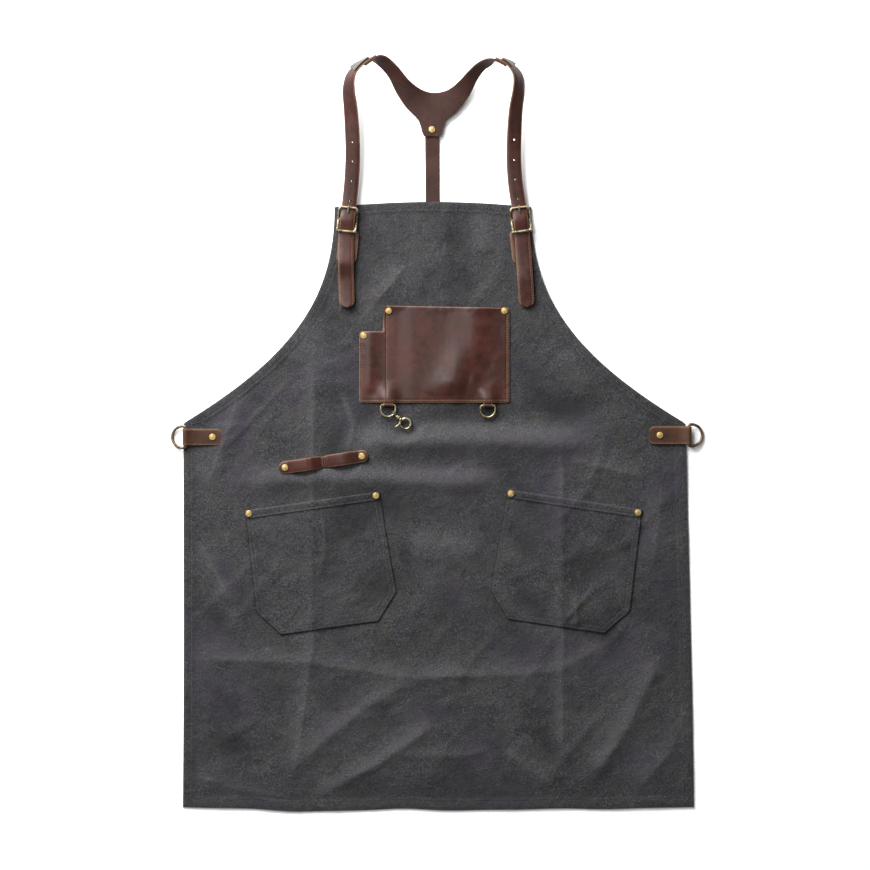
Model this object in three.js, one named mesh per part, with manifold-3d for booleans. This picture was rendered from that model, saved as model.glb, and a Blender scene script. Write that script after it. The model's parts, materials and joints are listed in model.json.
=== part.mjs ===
// A canvas and leather work apron, lying on its back with the front face up.
// Millimetres, +Z up, +Y towards the neck, +X to the right of the picture.
import * as THREE from "three";
import { mergeVertices } from "three/addons/utils/BufferGeometryUtils.js";
import Module from "manifold-3d";

const wasm = await Module();
wasm.setup();

// Driving dimensions
const GAP = 0.3; // clear space between pieces that lie on each other
const CANVAS_WALL = 1.4;
const POCKET_WALL = 1.4;
const CHEST_WALL = 2.0;
const YOKE_WALL = 2.4;
const STRAP_WALL = 2.6;
const STRAP_WIDTH = 19.6;
const BACK_STRAP_WIDTH = 18.4;
const HEM_Y = -496.4;
const HIP_Y = 15;
const BIB_TOP_Y = 303;
const HEM_HALF = 340.5;
const HIP_HALF = 334.5;
const BIB_HALF = 131;
const BIB_ARCH = 7; // rise of the bib's top edge at its middle
const REST = 1.8; // usual height of the canvas underside above the floor
const RIVET_CAP_RADIUS = 4.9;
const RIVET_POST_RADIUS = 1.4;
const HOLE_RADIUS = 1.4; // punched strap holes
const SKIRT_ROWS = 18; // rows and columns of the canvas wall
const ARMHOLE_ROWS = 11;
const CANVAS_COLUMNS = 21;
const STRAP_STEPS = 51; // rows of a front strap's wall

// Ridges (positive rise) and dips of the canvas, a straight run each
const FOLDS = [
  { fromX: -166, fromY: 126, toX: -166, toY: -287, rise: 3.2, spread: 15 },
  { fromX: -166, fromY: -287, toX: -195, toY: -481, rise: 3.0, spread: 15 },
  { fromX: 166, fromY: -7, toX: 166, toY: -434, rise: 3.0, spread: 15 },
  { fromX: -336, fromY: -297, toX: -170, toY: -303, rise: 3.0, spread: 15 },
  { fromX: -170, fromY: -303, toX: -36, toY: -323, rise: 3.0, spread: 15 },
  { fromX: -36, fromY: -323, toX: 164, toY: -314, rise: 3.0, spread: 15 },
  { fromX: 164, fromY: -314, toX: 230, toY: -274, rise: 2.6, spread: 15 },
  { fromX: -116, fromY: -10, toX: 217, toY: -10, rise: 6.5, spread: 20 },
  { fromX: -262, fromY: -61, toX: 57, toY: -61, rise: 4.5, spread: 17 },
  { fromX: 110, fromY: 38, toX: 224, toY: 38, rise: -1.4, spread: 15 },
  { fromX: -243, fromY: -490, toX: -3, toY: -383, rise: 6.0, spread: 19 },
  { fromX: -163, fromY: -414, toX: -10, toY: -321, rise: 4.5, spread: 19 },
  { fromX: 297, fromY: -294, toX: 204, toY: -461, rise: 6.0, spread: 19 },
  { fromX: 50, fromY: 306, toX: 50, toY: 239, rise: 2.4, spread: 13 },
  { fromX: -92, fromY: 160, toX: -43, toY: 226, rise: 1.8, spread: 14 },
  { fromX: -36, fromY: -178, toX: 64, toY: -178, rise: 3.6, spread: 22 },
];

// Slanted canvas pockets: middle of the mouth and turn; the sizes are shared
const POCKETS = [
  { side: "left", mouthX: -167, mouthY: -88.5, turn: 8 },
  { side: "right", mouthX: 183.5, mouthY: -86.5, turn: -8.5 },
];
const POCKET = { mouth: 181, widest: 189, side: 136, foot: 131, depth: 171, rivetIn: 5, rivetDown: 5 };

// Leather chest pocket: a main pocket and a lower, narrow pen pocket on its left
const CHEST = { left: -103.8, step: -70.7, right: 96, top: 170, penTop: 137.3, foot: 42.6, bulge: 2.6 };
const CHEST_COLUMNS = [-103.8, -92, -81, -71.2, -70.2, -55, -35, -12, 12, 36, 57, 78, 96];
const CHEST_RIVETS = [
  { x: -64.7, y: 164.6 },
  { x: 89.5, y: 164.6 },
  { x: -98.2, y: 131.7 },
];

// Front straps, a row for each section from the rounded lower end to the shoulder
const STRAP_SECTIONS = {
  left: [
    { x: -120.3, y: 169, z: 5.6, lean: 0, width: 7 },
    { x: -120.3, y: 171.5, z: 5.6, lean: 0, width: 14.5 },
    { x: -120.4, y: 178, z: 5.6, lean: 0, width: STRAP_WIDTH },
    { x: -121.1, y: 208, z: 6.2, lean: 0, width: STRAP_WIDTH },
    { x: -121.5, y: 228, z: 9.6, lean: 0, width: STRAP_WIDTH },
    { x: -121.4, y: 250, z: 10.0, lean: 0, width: STRAP_WIDTH },
    { x: -120.6, y: 270, z: 11.4, lean: 0, width: STRAP_WIDTH },
    { x: -119.4, y: 286, z: 14.2, lean: 0, width: STRAP_WIDTH },
    { x: -117.6, y: 301.4, z: 12.2, lean: 0, width: STRAP_WIDTH },
    { x: -114.0, y: 336.7, z: 14.0, lean: 1, width: STRAP_WIDTH },
    { x: -112.4, y: 368.7, z: 17.5, lean: 3, width: STRAP_WIDTH },
    { x: -113.0, y: 400.7, z: 22.0, lean: 9, width: STRAP_WIDTH },
    { x: -115.2, y: 432.7, z: 26.5, lean: 21, width: STRAP_WIDTH },
    { x: -117.5, y: 456.7, z: 29.5, lean: 34, width: STRAP_WIDTH },
    { x: -115.7, y: 472.7, z: 31.0, lean: 47, width: STRAP_WIDTH },
    { x: -110.8, y: 482.5, z: 31.6, lean: 59, width: STRAP_WIDTH },
    { x: -98.5, y: 492.6, z: 31.4, lean: 75, width: STRAP_WIDTH },
    { x: -82.0, y: 500.0, z: 30.4, lean: 88, width: STRAP_WIDTH },
  ],
  right: [
    { x: 119.4, y: 169.6, z: 5.6, lean: 0, width: 7 },
    { x: 119.3, y: 172, z: 5.6, lean: 0, width: 14.5 },
    { x: 119.0, y: 178, z: 5.6, lean: 0, width: STRAP_WIDTH },
    { x: 117.0, y: 208, z: 6.2, lean: 0, width: STRAP_WIDTH },
    { x: 115.6, y: 228, z: 9.6, lean: 0, width: STRAP_WIDTH },
    { x: 114.1, y: 250, z: 10.0, lean: 0, width: STRAP_WIDTH },
    { x: 112.6, y: 270, z: 11.4, lean: 0, width: STRAP_WIDTH },
    { x: 111.0, y: 286, z: 14.2, lean: 0, width: STRAP_WIDTH },
    { x: 108.8, y: 301.4, z: 12.2, lean: 0, width: STRAP_WIDTH },
    { x: 103.6, y: 336.7, z: 13.2, lean: -1, width: STRAP_WIDTH },
    { x: 101.8, y: 368.7, z: 15.6, lean: -4, width: STRAP_WIDTH },
    { x: 102.4, y: 400.7, z: 18.4, lean: -11, width: STRAP_WIDTH },
    { x: 104.6, y: 432.7, z: 20.6, lean: -23, width: STRAP_WIDTH },
    { x: 108.2, y: 456.7, z: 22.0, lean: -36, width: STRAP_WIDTH },
    { x: 108.3, y: 472.7, z: 22.6, lean: -47, width: STRAP_WIDTH },
    { x: 104.6, y: 482.5, z: 22.8, lean: -58, width: STRAP_WIDTH },
    { x: 94.0, y: 493.0, z: 22.6, lean: -74, width: STRAP_WIDTH },
    { x: 77.0, y: 498.6, z: 22.2, lean: -88, width: STRAP_WIDTH },
  ],
};
const HEEL_Y = 286; // the buckle's middle bar
const BAR_Y = 15.9; // from there to the outer bar and to the keeper bar
const BUCKLE = { wire: 1.6, heelWire: 1.5, half: 12.1, corner: 4, prongWire: 0.8 };
const BUCKLE_TAB = { width: 27, leather: 1.8, length: 56, neck: 18.4, neckLength: 11 };
const STRAP_HOLES = {
  left: [
    { x: -116.6, y: 310.5 },
    { x: -114, y: 337 },
    { x: -112.7, y: 362.7 },
    { x: -112.6, y: 388 },
  ],
  right: [
    { x: 107.2, y: 313.2 },
    { x: 103.4, y: 339 },
    { x: 101.9, y: 364.8 },
    { x: 102, y: 391.7 },
  ],
};

// Raised patch on the outside of each shoulder bend, by share of the strap's rows
const PATCH = {
  wall: 2.2,
  left: { from: 45 / STRAP_STEPS, to: 49 / STRAP_STEPS },
  right: { from: 46 / STRAP_STEPS, to: 50 / STRAP_STEPS },
};
// Shares of a strap where the yoke's arm lies inside it
const YOKE_TUCK = [49 / STRAP_STEPS, 50 / STRAP_STEPS, 1];

// Yoke, a row for each section from the neck edge to the lower edge, left to right
const YOKE_SECTIONS = [
  { neckX: -68, neckY: 501, neckZ: 36.0, lowX: -73, lowY: 487, lowZ: 20.5 },
  { neckX: -52, neckY: 487, neckZ: 27.5, lowX: -63.5, lowY: 474, lowZ: 14.0 },
  { neckX: -38, neckY: 471, neckZ: 19.0, lowX: -54, lowY: 454.5, lowZ: 9.5 },
  { neckX: -24, neckY: 460.5, neckZ: 12.0, lowX: -41, lowY: 435, lowZ: 7.0 },
  { neckX: -14, neckY: 456.5, neckZ: 8.6, lowX: -25, lowY: 418, lowZ: 6.0 },
  { neckX: -9, neckY: 455.4, neckZ: 7.6, lowX: -17.2, lowY: 397.3, lowZ: 5.9 },
  { neckX: -3.7, neckY: 455, neckZ: 7.4, lowX: -7, lowY: 397.3, lowZ: 5.9 },
  { neckX: 2, neckY: 455.4, neckZ: 7.4, lowX: 3.4, lowY: 397.3, lowZ: 5.9 },
  { neckX: 9, neckY: 456.8, neckZ: 7.8, lowX: 11, lowY: 417, lowZ: 6.0 },
  { neckX: 18, neckY: 461, neckZ: 9.5, lowX: 25, lowY: 429, lowZ: 6.4 },
  { neckX: 30, neckY: 471, neckZ: 13.5, lowX: 42, lowY: 450, lowZ: 7.6 },
  { neckX: 42, neckY: 484, neckZ: 19.0, lowX: 53, lowY: 472, lowZ: 10.5 },
  { neckX: 54, neckY: 494.5, neckZ: 25.5, lowX: 63, lowY: 485.5, lowZ: 14.0 },
];
const YOKE_RIVET = { x: -7, y: 406 };

// Back strap from under the yoke's tail down behind the bib
const BACK_STRAP_SECTIONS = [
  { x: -7.0, y: 416, z: 2.9, lean: 0, width: 12 },
  { x: -7.0, y: 411, z: 2.9, lean: 0, width: BACK_STRAP_WIDTH },
  { x: -7.0, y: 392, z: 2.9, lean: 0, width: BACK_STRAP_WIDTH },
  { x: -6.8, y: 370, z: 1.6, lean: 0, width: BACK_STRAP_WIDTH },
  { x: -6.6, y: 350, z: STRAP_WALL / 2 + 0.02, lean: 0, width: BACK_STRAP_WIDTH },
  { x: -6.5, y: 330, z: STRAP_WALL / 2, lean: 0, width: BACK_STRAP_WIDTH },
  { x: -6.2, y: 200, z: STRAP_WALL / 2, lean: 0, width: BACK_STRAP_WIDTH },
  { x: -5.8, y: 58, z: STRAP_WALL / 2, lean: 0, width: BACK_STRAP_WIDTH },
  { x: -5.8, y: 49, z: STRAP_WALL / 2, lean: 0, width: 14 },
  { x: -5.8, y: 46, z: STRAP_WALL / 2, lean: 0, width: 6 },
];

// Tool strip: two raised loops between its ends and the stitched middle
const TOOL_STRIP = {
  x: -151.5,
  y: -36.5,
  turn: 8.4,
  width: 15.5,
  wall: 2,
  half: 60,
  loopRise: 7.4,
  rivetIn: 8.4,
};

// Rings and the leather folds that hold them
const SIDE_RINGS = [
  { side: "left", barX: -335.0, barY: -3.4, outward: -1, tabEnd: -286.5, rivetX: -299.3 },
  { side: "right", barX: 335.0, barY: -1.0, outward: 1, tabEnd: 282.3, rivetX: 296.5 },
];
const SIDE_RING = { wire: 2.0, half: 14.4, reach: 18.8, corner: 2.6 };
const SIDE_TAB = { width: 22, leather: 1.6 };
const CHEST_RINGS = [
  { side: "left", x: -65.4, barY: 39.4, tilt: 2 },
  { side: "right", x: 67.4, barY: 38.6, tilt: -6 },
];
const CHEST_RING = { wire: 1.35, half: 9.75, reach: 15.6, corner: 2.6 };
const CHEST_TAB = { width: 13.8, leather: 1.6, length: 13 };

// Snap hook, measured along its own axis from the link on the left chest ring
const HOOK = {
  linkAngle: -39.5,
  dip: -1,
  eyeRadius: 3.0,
  eyeWire: 0.9,
  eyeTilt: 30,
  bodyFrom: 4.6,
  bodyTo: 13.6,
  bodyRadius: 2.9,
  loopX: 20.4,
  loopRadius: 6.85,
  loopWire: 1.45,
  pivotX: 14.6,
  pivotY: -4.9,
  pinRadius: 0.7,
  bossRadius: 1.7,
  thumbX: 12.6,
  thumbY: -13.2,
};

// Colours and finishes
const FINISHES = {
  canvas: { color: 0x444448, roughness: 0.95, metalness: 0 },
  leather: { color: 0x6b463d, roughness: 0.45, metalness: 0 },
  flesh: { color: 0x4a332d, roughness: 0.7, metalness: 0 },
  brass: { color: 0xd8b05c, roughness: 0.3, metalness: 1 },
  antique: { color: 0x8f7f5c, roughness: 0.4, metalness: 1 },
};

const apron = new THREE.Group();

/** Adds a geometry to the apron as one named piece. */
function addPiece(name, geometry, finish) {
  const mesh = new THREE.Mesh(geometry, new THREE.MeshStandardMaterial(FINISHES[finish]));
  mesh.name = name;
  apron.add(mesh);
  return mesh;
}

/** A closed geometry as a solid that can be joined and cut. */
function toSolid(geometry) {
  const bare = geometry.clone();
  bare.deleteAttribute("normal");
  bare.deleteAttribute("uv");
  const merged = mergeVertices(bare, 1e-4);
  return new wasm.Manifold(
    new wasm.Mesh({
      numProp: 3,
      vertProperties: new Float32Array(merged.attributes.position.array),
      triVerts: new Uint32Array(merged.index.array),
    }),
  );
}

/** A joined or cut solid back as a geometry. */
function toGeometry(solid) {
  const mesh = solid.getMesh();
  const geometry = new THREE.BufferGeometry();
  geometry.setAttribute("position", new THREE.BufferAttribute(new Float32Array(mesh.vertProperties), 3));
  geometry.setIndex(new THREE.BufferAttribute(new Uint32Array(mesh.triVerts), 1));
  return geometry;
}

const join = (...parts) => toGeometry(parts.map(toSolid).reduce((a, b) => a.add(b)));
const cut = (geometry, ...tools) =>
  toGeometry(tools.map(toSolid).reduce((a, b) => a.subtract(b), toSolid(geometry)));
const common = (a, b) => toGeometry(toSolid(a).intersect(toSolid(b)));

const smooth = (t) => THREE.MathUtils.smoothstep(t, 0, 1);
const radians = THREE.MathUtils.degToRad;

/** A closed wall between two grids of points; pointAt(along, across, side) takes shares from 0 to 1. */
function closedSheet(rows, columns, pointAt) {
  const positions = [];
  const index = [];
  const at = (i, j, side) => (side * (rows + 1) + i) * (columns + 1) + j;
  const quad = (a, b, c, d) => index.push(a, b, c, a, c, d);
  for (const side of [0, 1]) {
    for (let i = 0; i <= rows; i++) {
      for (let j = 0; j <= columns; j++) {
        positions.push(...pointAt(i / rows, j / columns, side).toArray());
      }
    }
  }
  for (let i = 0; i < rows; i++) {
    for (let j = 0; j < columns; j++) {
      quad(at(i, j, 1), at(i, j + 1, 1), at(i + 1, j + 1, 1), at(i + 1, j, 1));
      quad(at(i, j, 0), at(i + 1, j, 0), at(i + 1, j + 1, 0), at(i, j + 1, 0));
    }
  }
  for (let i = 0; i < rows; i++) {
    quad(at(i, 0, 0), at(i, 0, 1), at(i + 1, 0, 1), at(i + 1, 0, 0));
    quad(at(i, columns, 1), at(i, columns, 0), at(i + 1, columns, 0), at(i + 1, columns, 1));
  }
  for (let j = 0; j < columns; j++) {
    quad(at(0, j, 1), at(0, j, 0), at(0, j + 1, 0), at(0, j + 1, 1));
    quad(at(rows, j, 0), at(rows, j, 1), at(rows, j + 1, 1), at(rows, j + 1, 0));
  }
  const geometry = new THREE.BufferGeometry();
  geometry.setAttribute("position", new THREE.Float32BufferAttribute(positions, 3));
  geometry.setIndex(facingOut(positions, index));
  return geometry;
}

/** The triangles turned to face out, by the sign of the volume they enclose. */
function facingOut(positions, index) {
  const corner = (k) => new THREE.Vector3().fromArray(positions, 3 * index[k]);
  let volume = 0;
  for (let k = 0; k < index.length; k += 3) {
    volume += corner(k).dot(corner(k + 1).cross(corner(k + 2)));
  }
  return volume < 0 ? index.toReversed() : index;
}

/** Highest and lowest points of some geometries over a spot and a circle of points round it. */
function heights(geometries, x, y, radius = 0) {
  const spots = [[x, y]];
  for (let k = 0; radius > 0 && k < 12; k++) {
    spots.push([x + radius * Math.cos((k * Math.PI) / 6), y + radius * Math.sin((k * Math.PI) / 6)]);
  }
  const found = { top: -Infinity, bottom: Infinity };
  for (const geometry of geometries) {
    const p = geometry.attributes.position.array;
    const index = geometry.index.array;
    for (let k = 0; k < index.length; k += 3) {
      const [a, b, c] = [3 * index[k], 3 * index[k + 1], 3 * index[k + 2]];
      const area = (p[b] - p[a]) * (p[c + 1] - p[a + 1]) - (p[c] - p[a]) * (p[b + 1] - p[a + 1]);
      if (Math.abs(area) < 1e-6) continue;
      for (const [sx, sy] of spots) {
        const u = ((sx - p[a]) * (p[c + 1] - p[a + 1]) - (p[c] - p[a]) * (sy - p[a + 1])) / area;
        const v = ((p[b] - p[a]) * (sy - p[a + 1]) - (sx - p[a]) * (p[b + 1] - p[a + 1])) / area;
        if (u < 0 || v < 0 || u + v > 1) continue;
        const z = p[a + 2] + u * (p[b + 2] - p[a + 2]) + v * (p[c + 2] - p[a + 2]);
        found.top = Math.max(found.top, z);
        found.bottom = Math.min(found.bottom, z);
      }
    }
  }
  return found;
}

/** Highest point of some geometries under a rectangle. */
function levelUnder(geometries, x0, x1, y0, y1) {
  let top = -Infinity;
  for (let i = 0; i <= 8; i++) {
    for (let j = 0; j <= 8; j++) {
      top = Math.max(top, heights(geometries, x0 + ((x1 - x0) * i) / 8, y0 + ((y1 - y0) * j) / 8).top);
    }
  }
  return top;
}

/** Smooth values through table rows, by share of the way from the first row to the last. */
function alongRows(rows, key, share) {
  const spot = Math.min(share * (rows.length - 1), rows.length - 1 - 1e-9);
  const k = Math.floor(spot);
  return THREE.MathUtils.lerp(rows[k][key], rows[k + 1][key], spot - k);
}

/** The moving frame of a flat strap: middle, sideways and outward directions, and width. */
function strapFrames(rows) {
  const curve = new THREE.CatmullRomCurve3(rows.map((r) => new THREE.Vector3(r.x, r.y, r.z)));
  return (share) => {
    const ahead = curve.getTangent(share);
    const lean = -radians(alongRows(rows, "lean", share));
    const across = new THREE.Vector3().crossVectors(ahead, new THREE.Vector3(0, 0, 1)).normalize();
    across.applyAxisAngle(ahead, lean);
    const outward = new THREE.Vector3().crossVectors(across, ahead);
    return { middle: curve.getPoint(share), across, outward, width: alongRows(rows, "width", share) };
  };
}

/** A leather strip along a strap's frames, lifted outward from its middle surface. */
function stripAlong(frames, { from = 0, to = 1, steps, wall, lift = 0, trim = 0 }) {
  return closedSheet(steps, 1, (along, acrossShare, side) => {
    const frame = frames(from + (to - from) * along);
    return frame.middle
      .clone()
      .addScaledVector(frame.across, (acrossShare - 0.5) * (frame.width - trim))
      .addScaledVector(frame.outward, lift + (side - 0.5) * wall);
  });
}

/** A rod of round wire along points, with flat ends. */
function rod(points, radius, sides, steps) {
  const ring = new THREE.Shape(
    Array.from({ length: sides }, (_, k) => {
      const angle = (2 * Math.PI * k) / sides;
      return new THREE.Vector2(radius * Math.cos(angle), radius * Math.sin(angle));
    }),
  );
  const extrudePath = new THREE.CatmullRomCurve3(points);
  return new THREE.ExtrudeGeometry(ring, { extrudePath, steps, bevelEnabled: false });
}

/** A plate between two heights with a plan outline. */
function plate(outline, bottom, top) {
  const geometry = new THREE.ExtrudeGeometry(new THREE.Shape(outline), {
    depth: top - bottom,
    bevelEnabled: false,
  });
  return geometry.translate(0, 0, bottom);
}

const arc = (x, y, radius, from, to, steps) =>
  Array.from({ length: steps + 1 }, (_, k) => {
    const angle = radians(from + ((to - from) * k) / steps);
    return new THREE.Vector2(x + radius * Math.cos(angle), y + radius * Math.sin(angle));
  });

/** Height of the canvas underside above the floor. */
function canvasUnderside(x, y) {
  let z = REST;
  z *= smooth((y - HEM_Y) / 45);
  z *= 1 - 0.9 * smooth((Math.abs(x) - 285) / 50) * smooth((-40 - y) / 40);
  const overStrap = 1 - smooth((Math.abs(x + 6) - 13) / 26);
  z += 1.6 * overStrap * smooth((y - 6) / 30);
  for (const fold of FOLDS) {
    const runX = fold.toX - fold.fromX;
    const runY = fold.toY - fold.fromY;
    const share = ((x - fold.fromX) * runX + (y - fold.fromY) * runY) / (runX * runX + runY * runY);
    const nearest = THREE.MathUtils.clamp(share, 0, 1);
    const away = Math.hypot(x - fold.fromX - nearest * runX, y - fold.fromY - nearest * runY);
    z += fold.rise * Math.exp(-((away / fold.spread) ** 2));
  }
  return Math.max(z, 0);
}

/** The canvas: skirt rows up to the hips, then rows along the armhole curve to the bib's top. */
function canvasBody() {
  const armhole = new THREE.CubicBezierCurve(
    new THREE.Vector2(HIP_HALF, HIP_Y),
    new THREE.Vector2(180, 108),
    new THREE.Vector2(BIB_HALF, 188),
    new THREE.Vector2(BIB_HALF, BIB_TOP_Y),
  );
  const rows = SKIRT_ROWS + ARMHOLE_ROWS;
  return closedSheet(rows, CANVAS_COLUMNS, (along, acrossShare, side) => {
    const row = Math.round(along * rows);
    const share = row / SKIRT_ROWS;
    const edge =
      row <= SKIRT_ROWS
        ? new THREE.Vector2(
            THREE.MathUtils.lerp(HEM_HALF, HIP_HALF, share),
            THREE.MathUtils.lerp(HEM_Y, HIP_Y, share),
          )
        : armhole.getPoint((row - SKIRT_ROWS) / ARMHOLE_ROWS);
    const aside = 2 * acrossShare - 1;
    const drift = THREE.MathUtils.lerp(1.4, -6, smooth((edge.y - HEM_Y) / (BIB_TOP_Y - HEM_Y)));
    const x = drift + aside * edge.x;
    const bow = 1 - aside * aside;
    const sag = 3.5 * bow + 3 * Math.exp(-(((x + 185) / 60) ** 2));
    const arch = BIB_ARCH * bow * smooth((edge.y - 230) / (BIB_TOP_Y - 230));
    const y = edge.y + arch - sag * smooth((HEM_Y + 90 - edge.y) / 90);
    return new THREE.Vector3(x, y, canvasUnderside(x, y) + side * CANVAS_WALL);
  });
}

// Every piece by name, before it becomes a mesh
const shapes = new Map();
const keep = (name, geometry, finish) => shapes.set(name, { geometry, finish }).get(name).geometry;
const shapeOf = (name) => shapes.get(name).geometry;

const canvas = keep("canvas_body", canvasBody(), "canvas");

/** A folded leather tab round a bar along Y at the origin; the fold points to -X, the layers run to +X. */
function foldedTab({ width, leather, length, bar, neck = width, neckLength = 0 }) {
  const inner = bar + GAP;
  const outer = inner + leather;
  const meet = 1.5 * outer;
  const upper = GAP - inner;
  const round = 0.42 * width;
  const profile = new THREE.Shape([
    new THREE.Vector2(length, -outer),
    ...arc(0, 0, outer, 270, 35, 9),
    new THREE.Vector2(meet, upper + leather),
    new THREE.Vector2(length, upper + leather),
    new THREE.Vector2(length, upper),
    new THREE.Vector2(meet, upper),
    ...arc(0, 0, inner, 35, 270, 9),
    new THREE.Vector2(length, -inner),
  ]);
  const band = new THREE.ExtrudeGeometry(profile, { depth: width, bevelEnabled: false });
  band.rotateX(Math.PI / 2).translate(0, width / 2, 0);
  const outline = [
    new THREE.Vector2(-2 * outer, -neck / 2),
    new THREE.Vector2(neckLength, -neck / 2),
    new THREE.Vector2(neckLength + (width - neck) / 2, -width / 2),
    ...arc(length - round, round - width / 2, round, 270, 360, 3),
    ...arc(length - round, width / 2 - round, round, 0, 90, 3),
    new THREE.Vector2(neckLength + (width - neck) / 2, width / 2),
    new THREE.Vector2(neckLength, neck / 2),
    new THREE.Vector2(-2 * outer, neck / 2),
  ];
  return common(band, plate(outline, -2 * outer, 2 * outer));
}

/** A D-ring with its straight bar along Y at the origin and its bow towards -X. */
function dRing({ wire, half, reach, corner }) {
  const round = arc(half - reach, 0, half, 90, 270, 10);
  const straight = half - corner;
  const outline = [
    ...[-0.9, -0.5, 0, 0.5, 0.9].map((share) => new THREE.Vector2(0, share * straight)),
    ...arc(-corner, straight, corner, 0, 90, 2),
    ...round,
    ...arc(-corner, -straight, corner, 270, 360, 2),
  ];
  const points = outline.map((p) => new THREE.Vector3(p.x, p.y, 0));
  const curve = new THREE.CatmullRomCurve3(points, true, "centripetal");
  return mergeVertices(new THREE.TubeGeometry(curve, 22, wire, 6, true));
}

// Side rings in their tabs, bows drooping to the floor outside the canvas edge
for (const ring of SIDE_RINGS) {
  const length = Math.abs(ring.tabEnd - ring.barX);
  const fold = SIDE_RING.wire + GAP + SIDE_TAB.leather;
  const reachY = SIDE_TAB.width / 2;
  const level = levelUnder([canvas], ring.barX, ring.tabEnd, ring.barY - reachY, ring.barY + reachY);
  const barZ = level + GAP + fold;
  const droop = Math.asin((barZ - SIDE_RING.wire - GAP) / SIDE_RING.reach);
  const facing = ring.outward < 0 ? 0 : Math.PI;
  const tab = foldedTab({ ...SIDE_TAB, length, bar: SIDE_RING.wire });
  keep(`side_tab_${ring.side}`, tab.rotateZ(facing).translate(ring.barX, ring.barY, barZ), "leather");
  const bow = dRing(SIDE_RING).rotateY(-droop).rotateZ(facing);
  keep(`side_ring_${ring.side}`, bow.translate(ring.barX, ring.barY, barZ), "antique");
}

// Chest rings in their small tabs, the layers tucked under the chest pocket
const chestFold = CHEST_RING.wire + GAP + CHEST_TAB.leather;
for (const ring of CHEST_RINGS) {
  const reachX = CHEST_RING.half + CHEST_RING.wire;
  const lowY = ring.barY - CHEST_RING.reach - CHEST_RING.wire;
  const level = levelUnder([canvas], ring.x - reachX, ring.x + reachX, lowY, ring.barY + CHEST_TAB.length);
  ring.barZ = level + GAP + chestFold;
  const tab = foldedTab({ ...CHEST_TAB, bar: CHEST_RING.wire }).rotateZ(Math.PI / 2);
  keep(`ring_tab_${ring.side}`, tab.translate(ring.x, ring.barY, ring.barZ), "leather");
  const bow = dRing(CHEST_RING).rotateY(radians(ring.tilt)).rotateZ(Math.PI / 2);
  keep(`chest_ring_${ring.side}`, bow.translate(ring.x, ring.barY, ring.barZ), "antique");
}

/** The hook without its lever: swivel eye, barrel, loop, and the ear and pin that carry the lever. */
function hookBody() {
  const eye = new THREE.TorusGeometry(HOOK.eyeRadius, HOOK.eyeWire, 5, 10);
  eye.rotateX(radians(90 - HOOK.eyeTilt));
  const swivel = new THREE.CylinderGeometry(1.2, 1.2, 3, 8).rotateZ(Math.PI / 2);
  swivel.translate(HOOK.bodyFrom - 0.4, 0, 0);
  const middle = (HOOK.bodyFrom + HOOK.bodyTo) / 2;
  const barrel = new THREE.LatheGeometry(
    [
      new THREE.Vector2(0, HOOK.bodyFrom),
      new THREE.Vector2(0.8 * HOOK.bodyRadius, HOOK.bodyFrom),
      new THREE.Vector2(HOOK.bodyRadius, HOOK.bodyFrom + 0.9),
      new THREE.Vector2(0.82 * HOOK.bodyRadius, middle - 0.6),
      new THREE.Vector2(HOOK.bodyRadius, middle + 0.4),
      new THREE.Vector2(0.8 * HOOK.bodyRadius, HOOK.bodyTo),
      new THREE.Vector2(0, HOOK.bodyTo),
    ],
    10,
  ).rotateZ(-Math.PI / 2);
  const bend = arc(HOOK.loopX, 0, HOOK.loopRadius, 176, -59, 12);
  const loop = rod(bend.map((p) => new THREE.Vector3(p.x, p.y, 0)), HOOK.loopWire, 6, 16);
  const earX = HOOK.bodyTo - 2;
  const away = THREE.MathUtils.radToDeg(Math.atan2(HOOK.pivotY, HOOK.pivotX - earX));
  const ear = plate(
    [
      ...arc(earX, 0, HOOK.bossRadius, away + 90, away + 270, 3),
      ...arc(HOOK.pivotX, HOOK.pivotY, HOOK.bossRadius, away - 90, away + 90, 4),
    ],
    HOOK.loopWire + 0.1,
    HOOK.loopWire + 0.9,
  );
  const pin = new THREE.CylinderGeometry(HOOK.pinRadius, HOOK.pinRadius, 3, 8).rotateX(Math.PI / 2);
  pin.translate(HOOK.pivotX, HOOK.pivotY, HOOK.loopWire + 0.5 - 1.5);
  return join(eye, swivel, barrel, loop, ear, pin);
}

/** The hook's lever: boss on the pin, gate that closes the loop, and thumb piece. */
function hookLever() {
  const boss = new THREE.CylinderGeometry(HOOK.bossRadius, HOOK.bossRadius, 1.8, 10).rotateX(Math.PI / 2);
  boss.translate(HOOK.pivotX, HOOK.pivotY, 0);
  const bend = arc(HOOK.loopX, 0, HOOK.loopRadius, 229, 287, 4);
  const gate = rod(bend.map((p) => new THREE.Vector3(p.x, p.y, 0)), 0.8 * HOOK.loopWire, 6, 6);
  const thumb = rod(
    [
      new THREE.Vector3(HOOK.pivotX - 0.3, HOOK.pivotY - 1.2, 0),
      new THREE.Vector3((HOOK.pivotX + HOOK.thumbX) / 2, (HOOK.pivotY + HOOK.thumbY) / 2, 0.3),
      new THREE.Vector3(HOOK.thumbX, HOOK.thumbY, 1.2),
    ],
    0.75 * HOOK.loopWire,
    6,
    4,
  );
  const boreRadius = HOOK.pinRadius + GAP;
  const bore = new THREE.CylinderGeometry(boreRadius, boreRadius, 6, 8).rotateX(Math.PI / 2);
  bore.translate(HOOK.pivotX, HOOK.pivotY, 0);
  return cut(join(boss, gate, thumb), bore);
}

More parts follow.
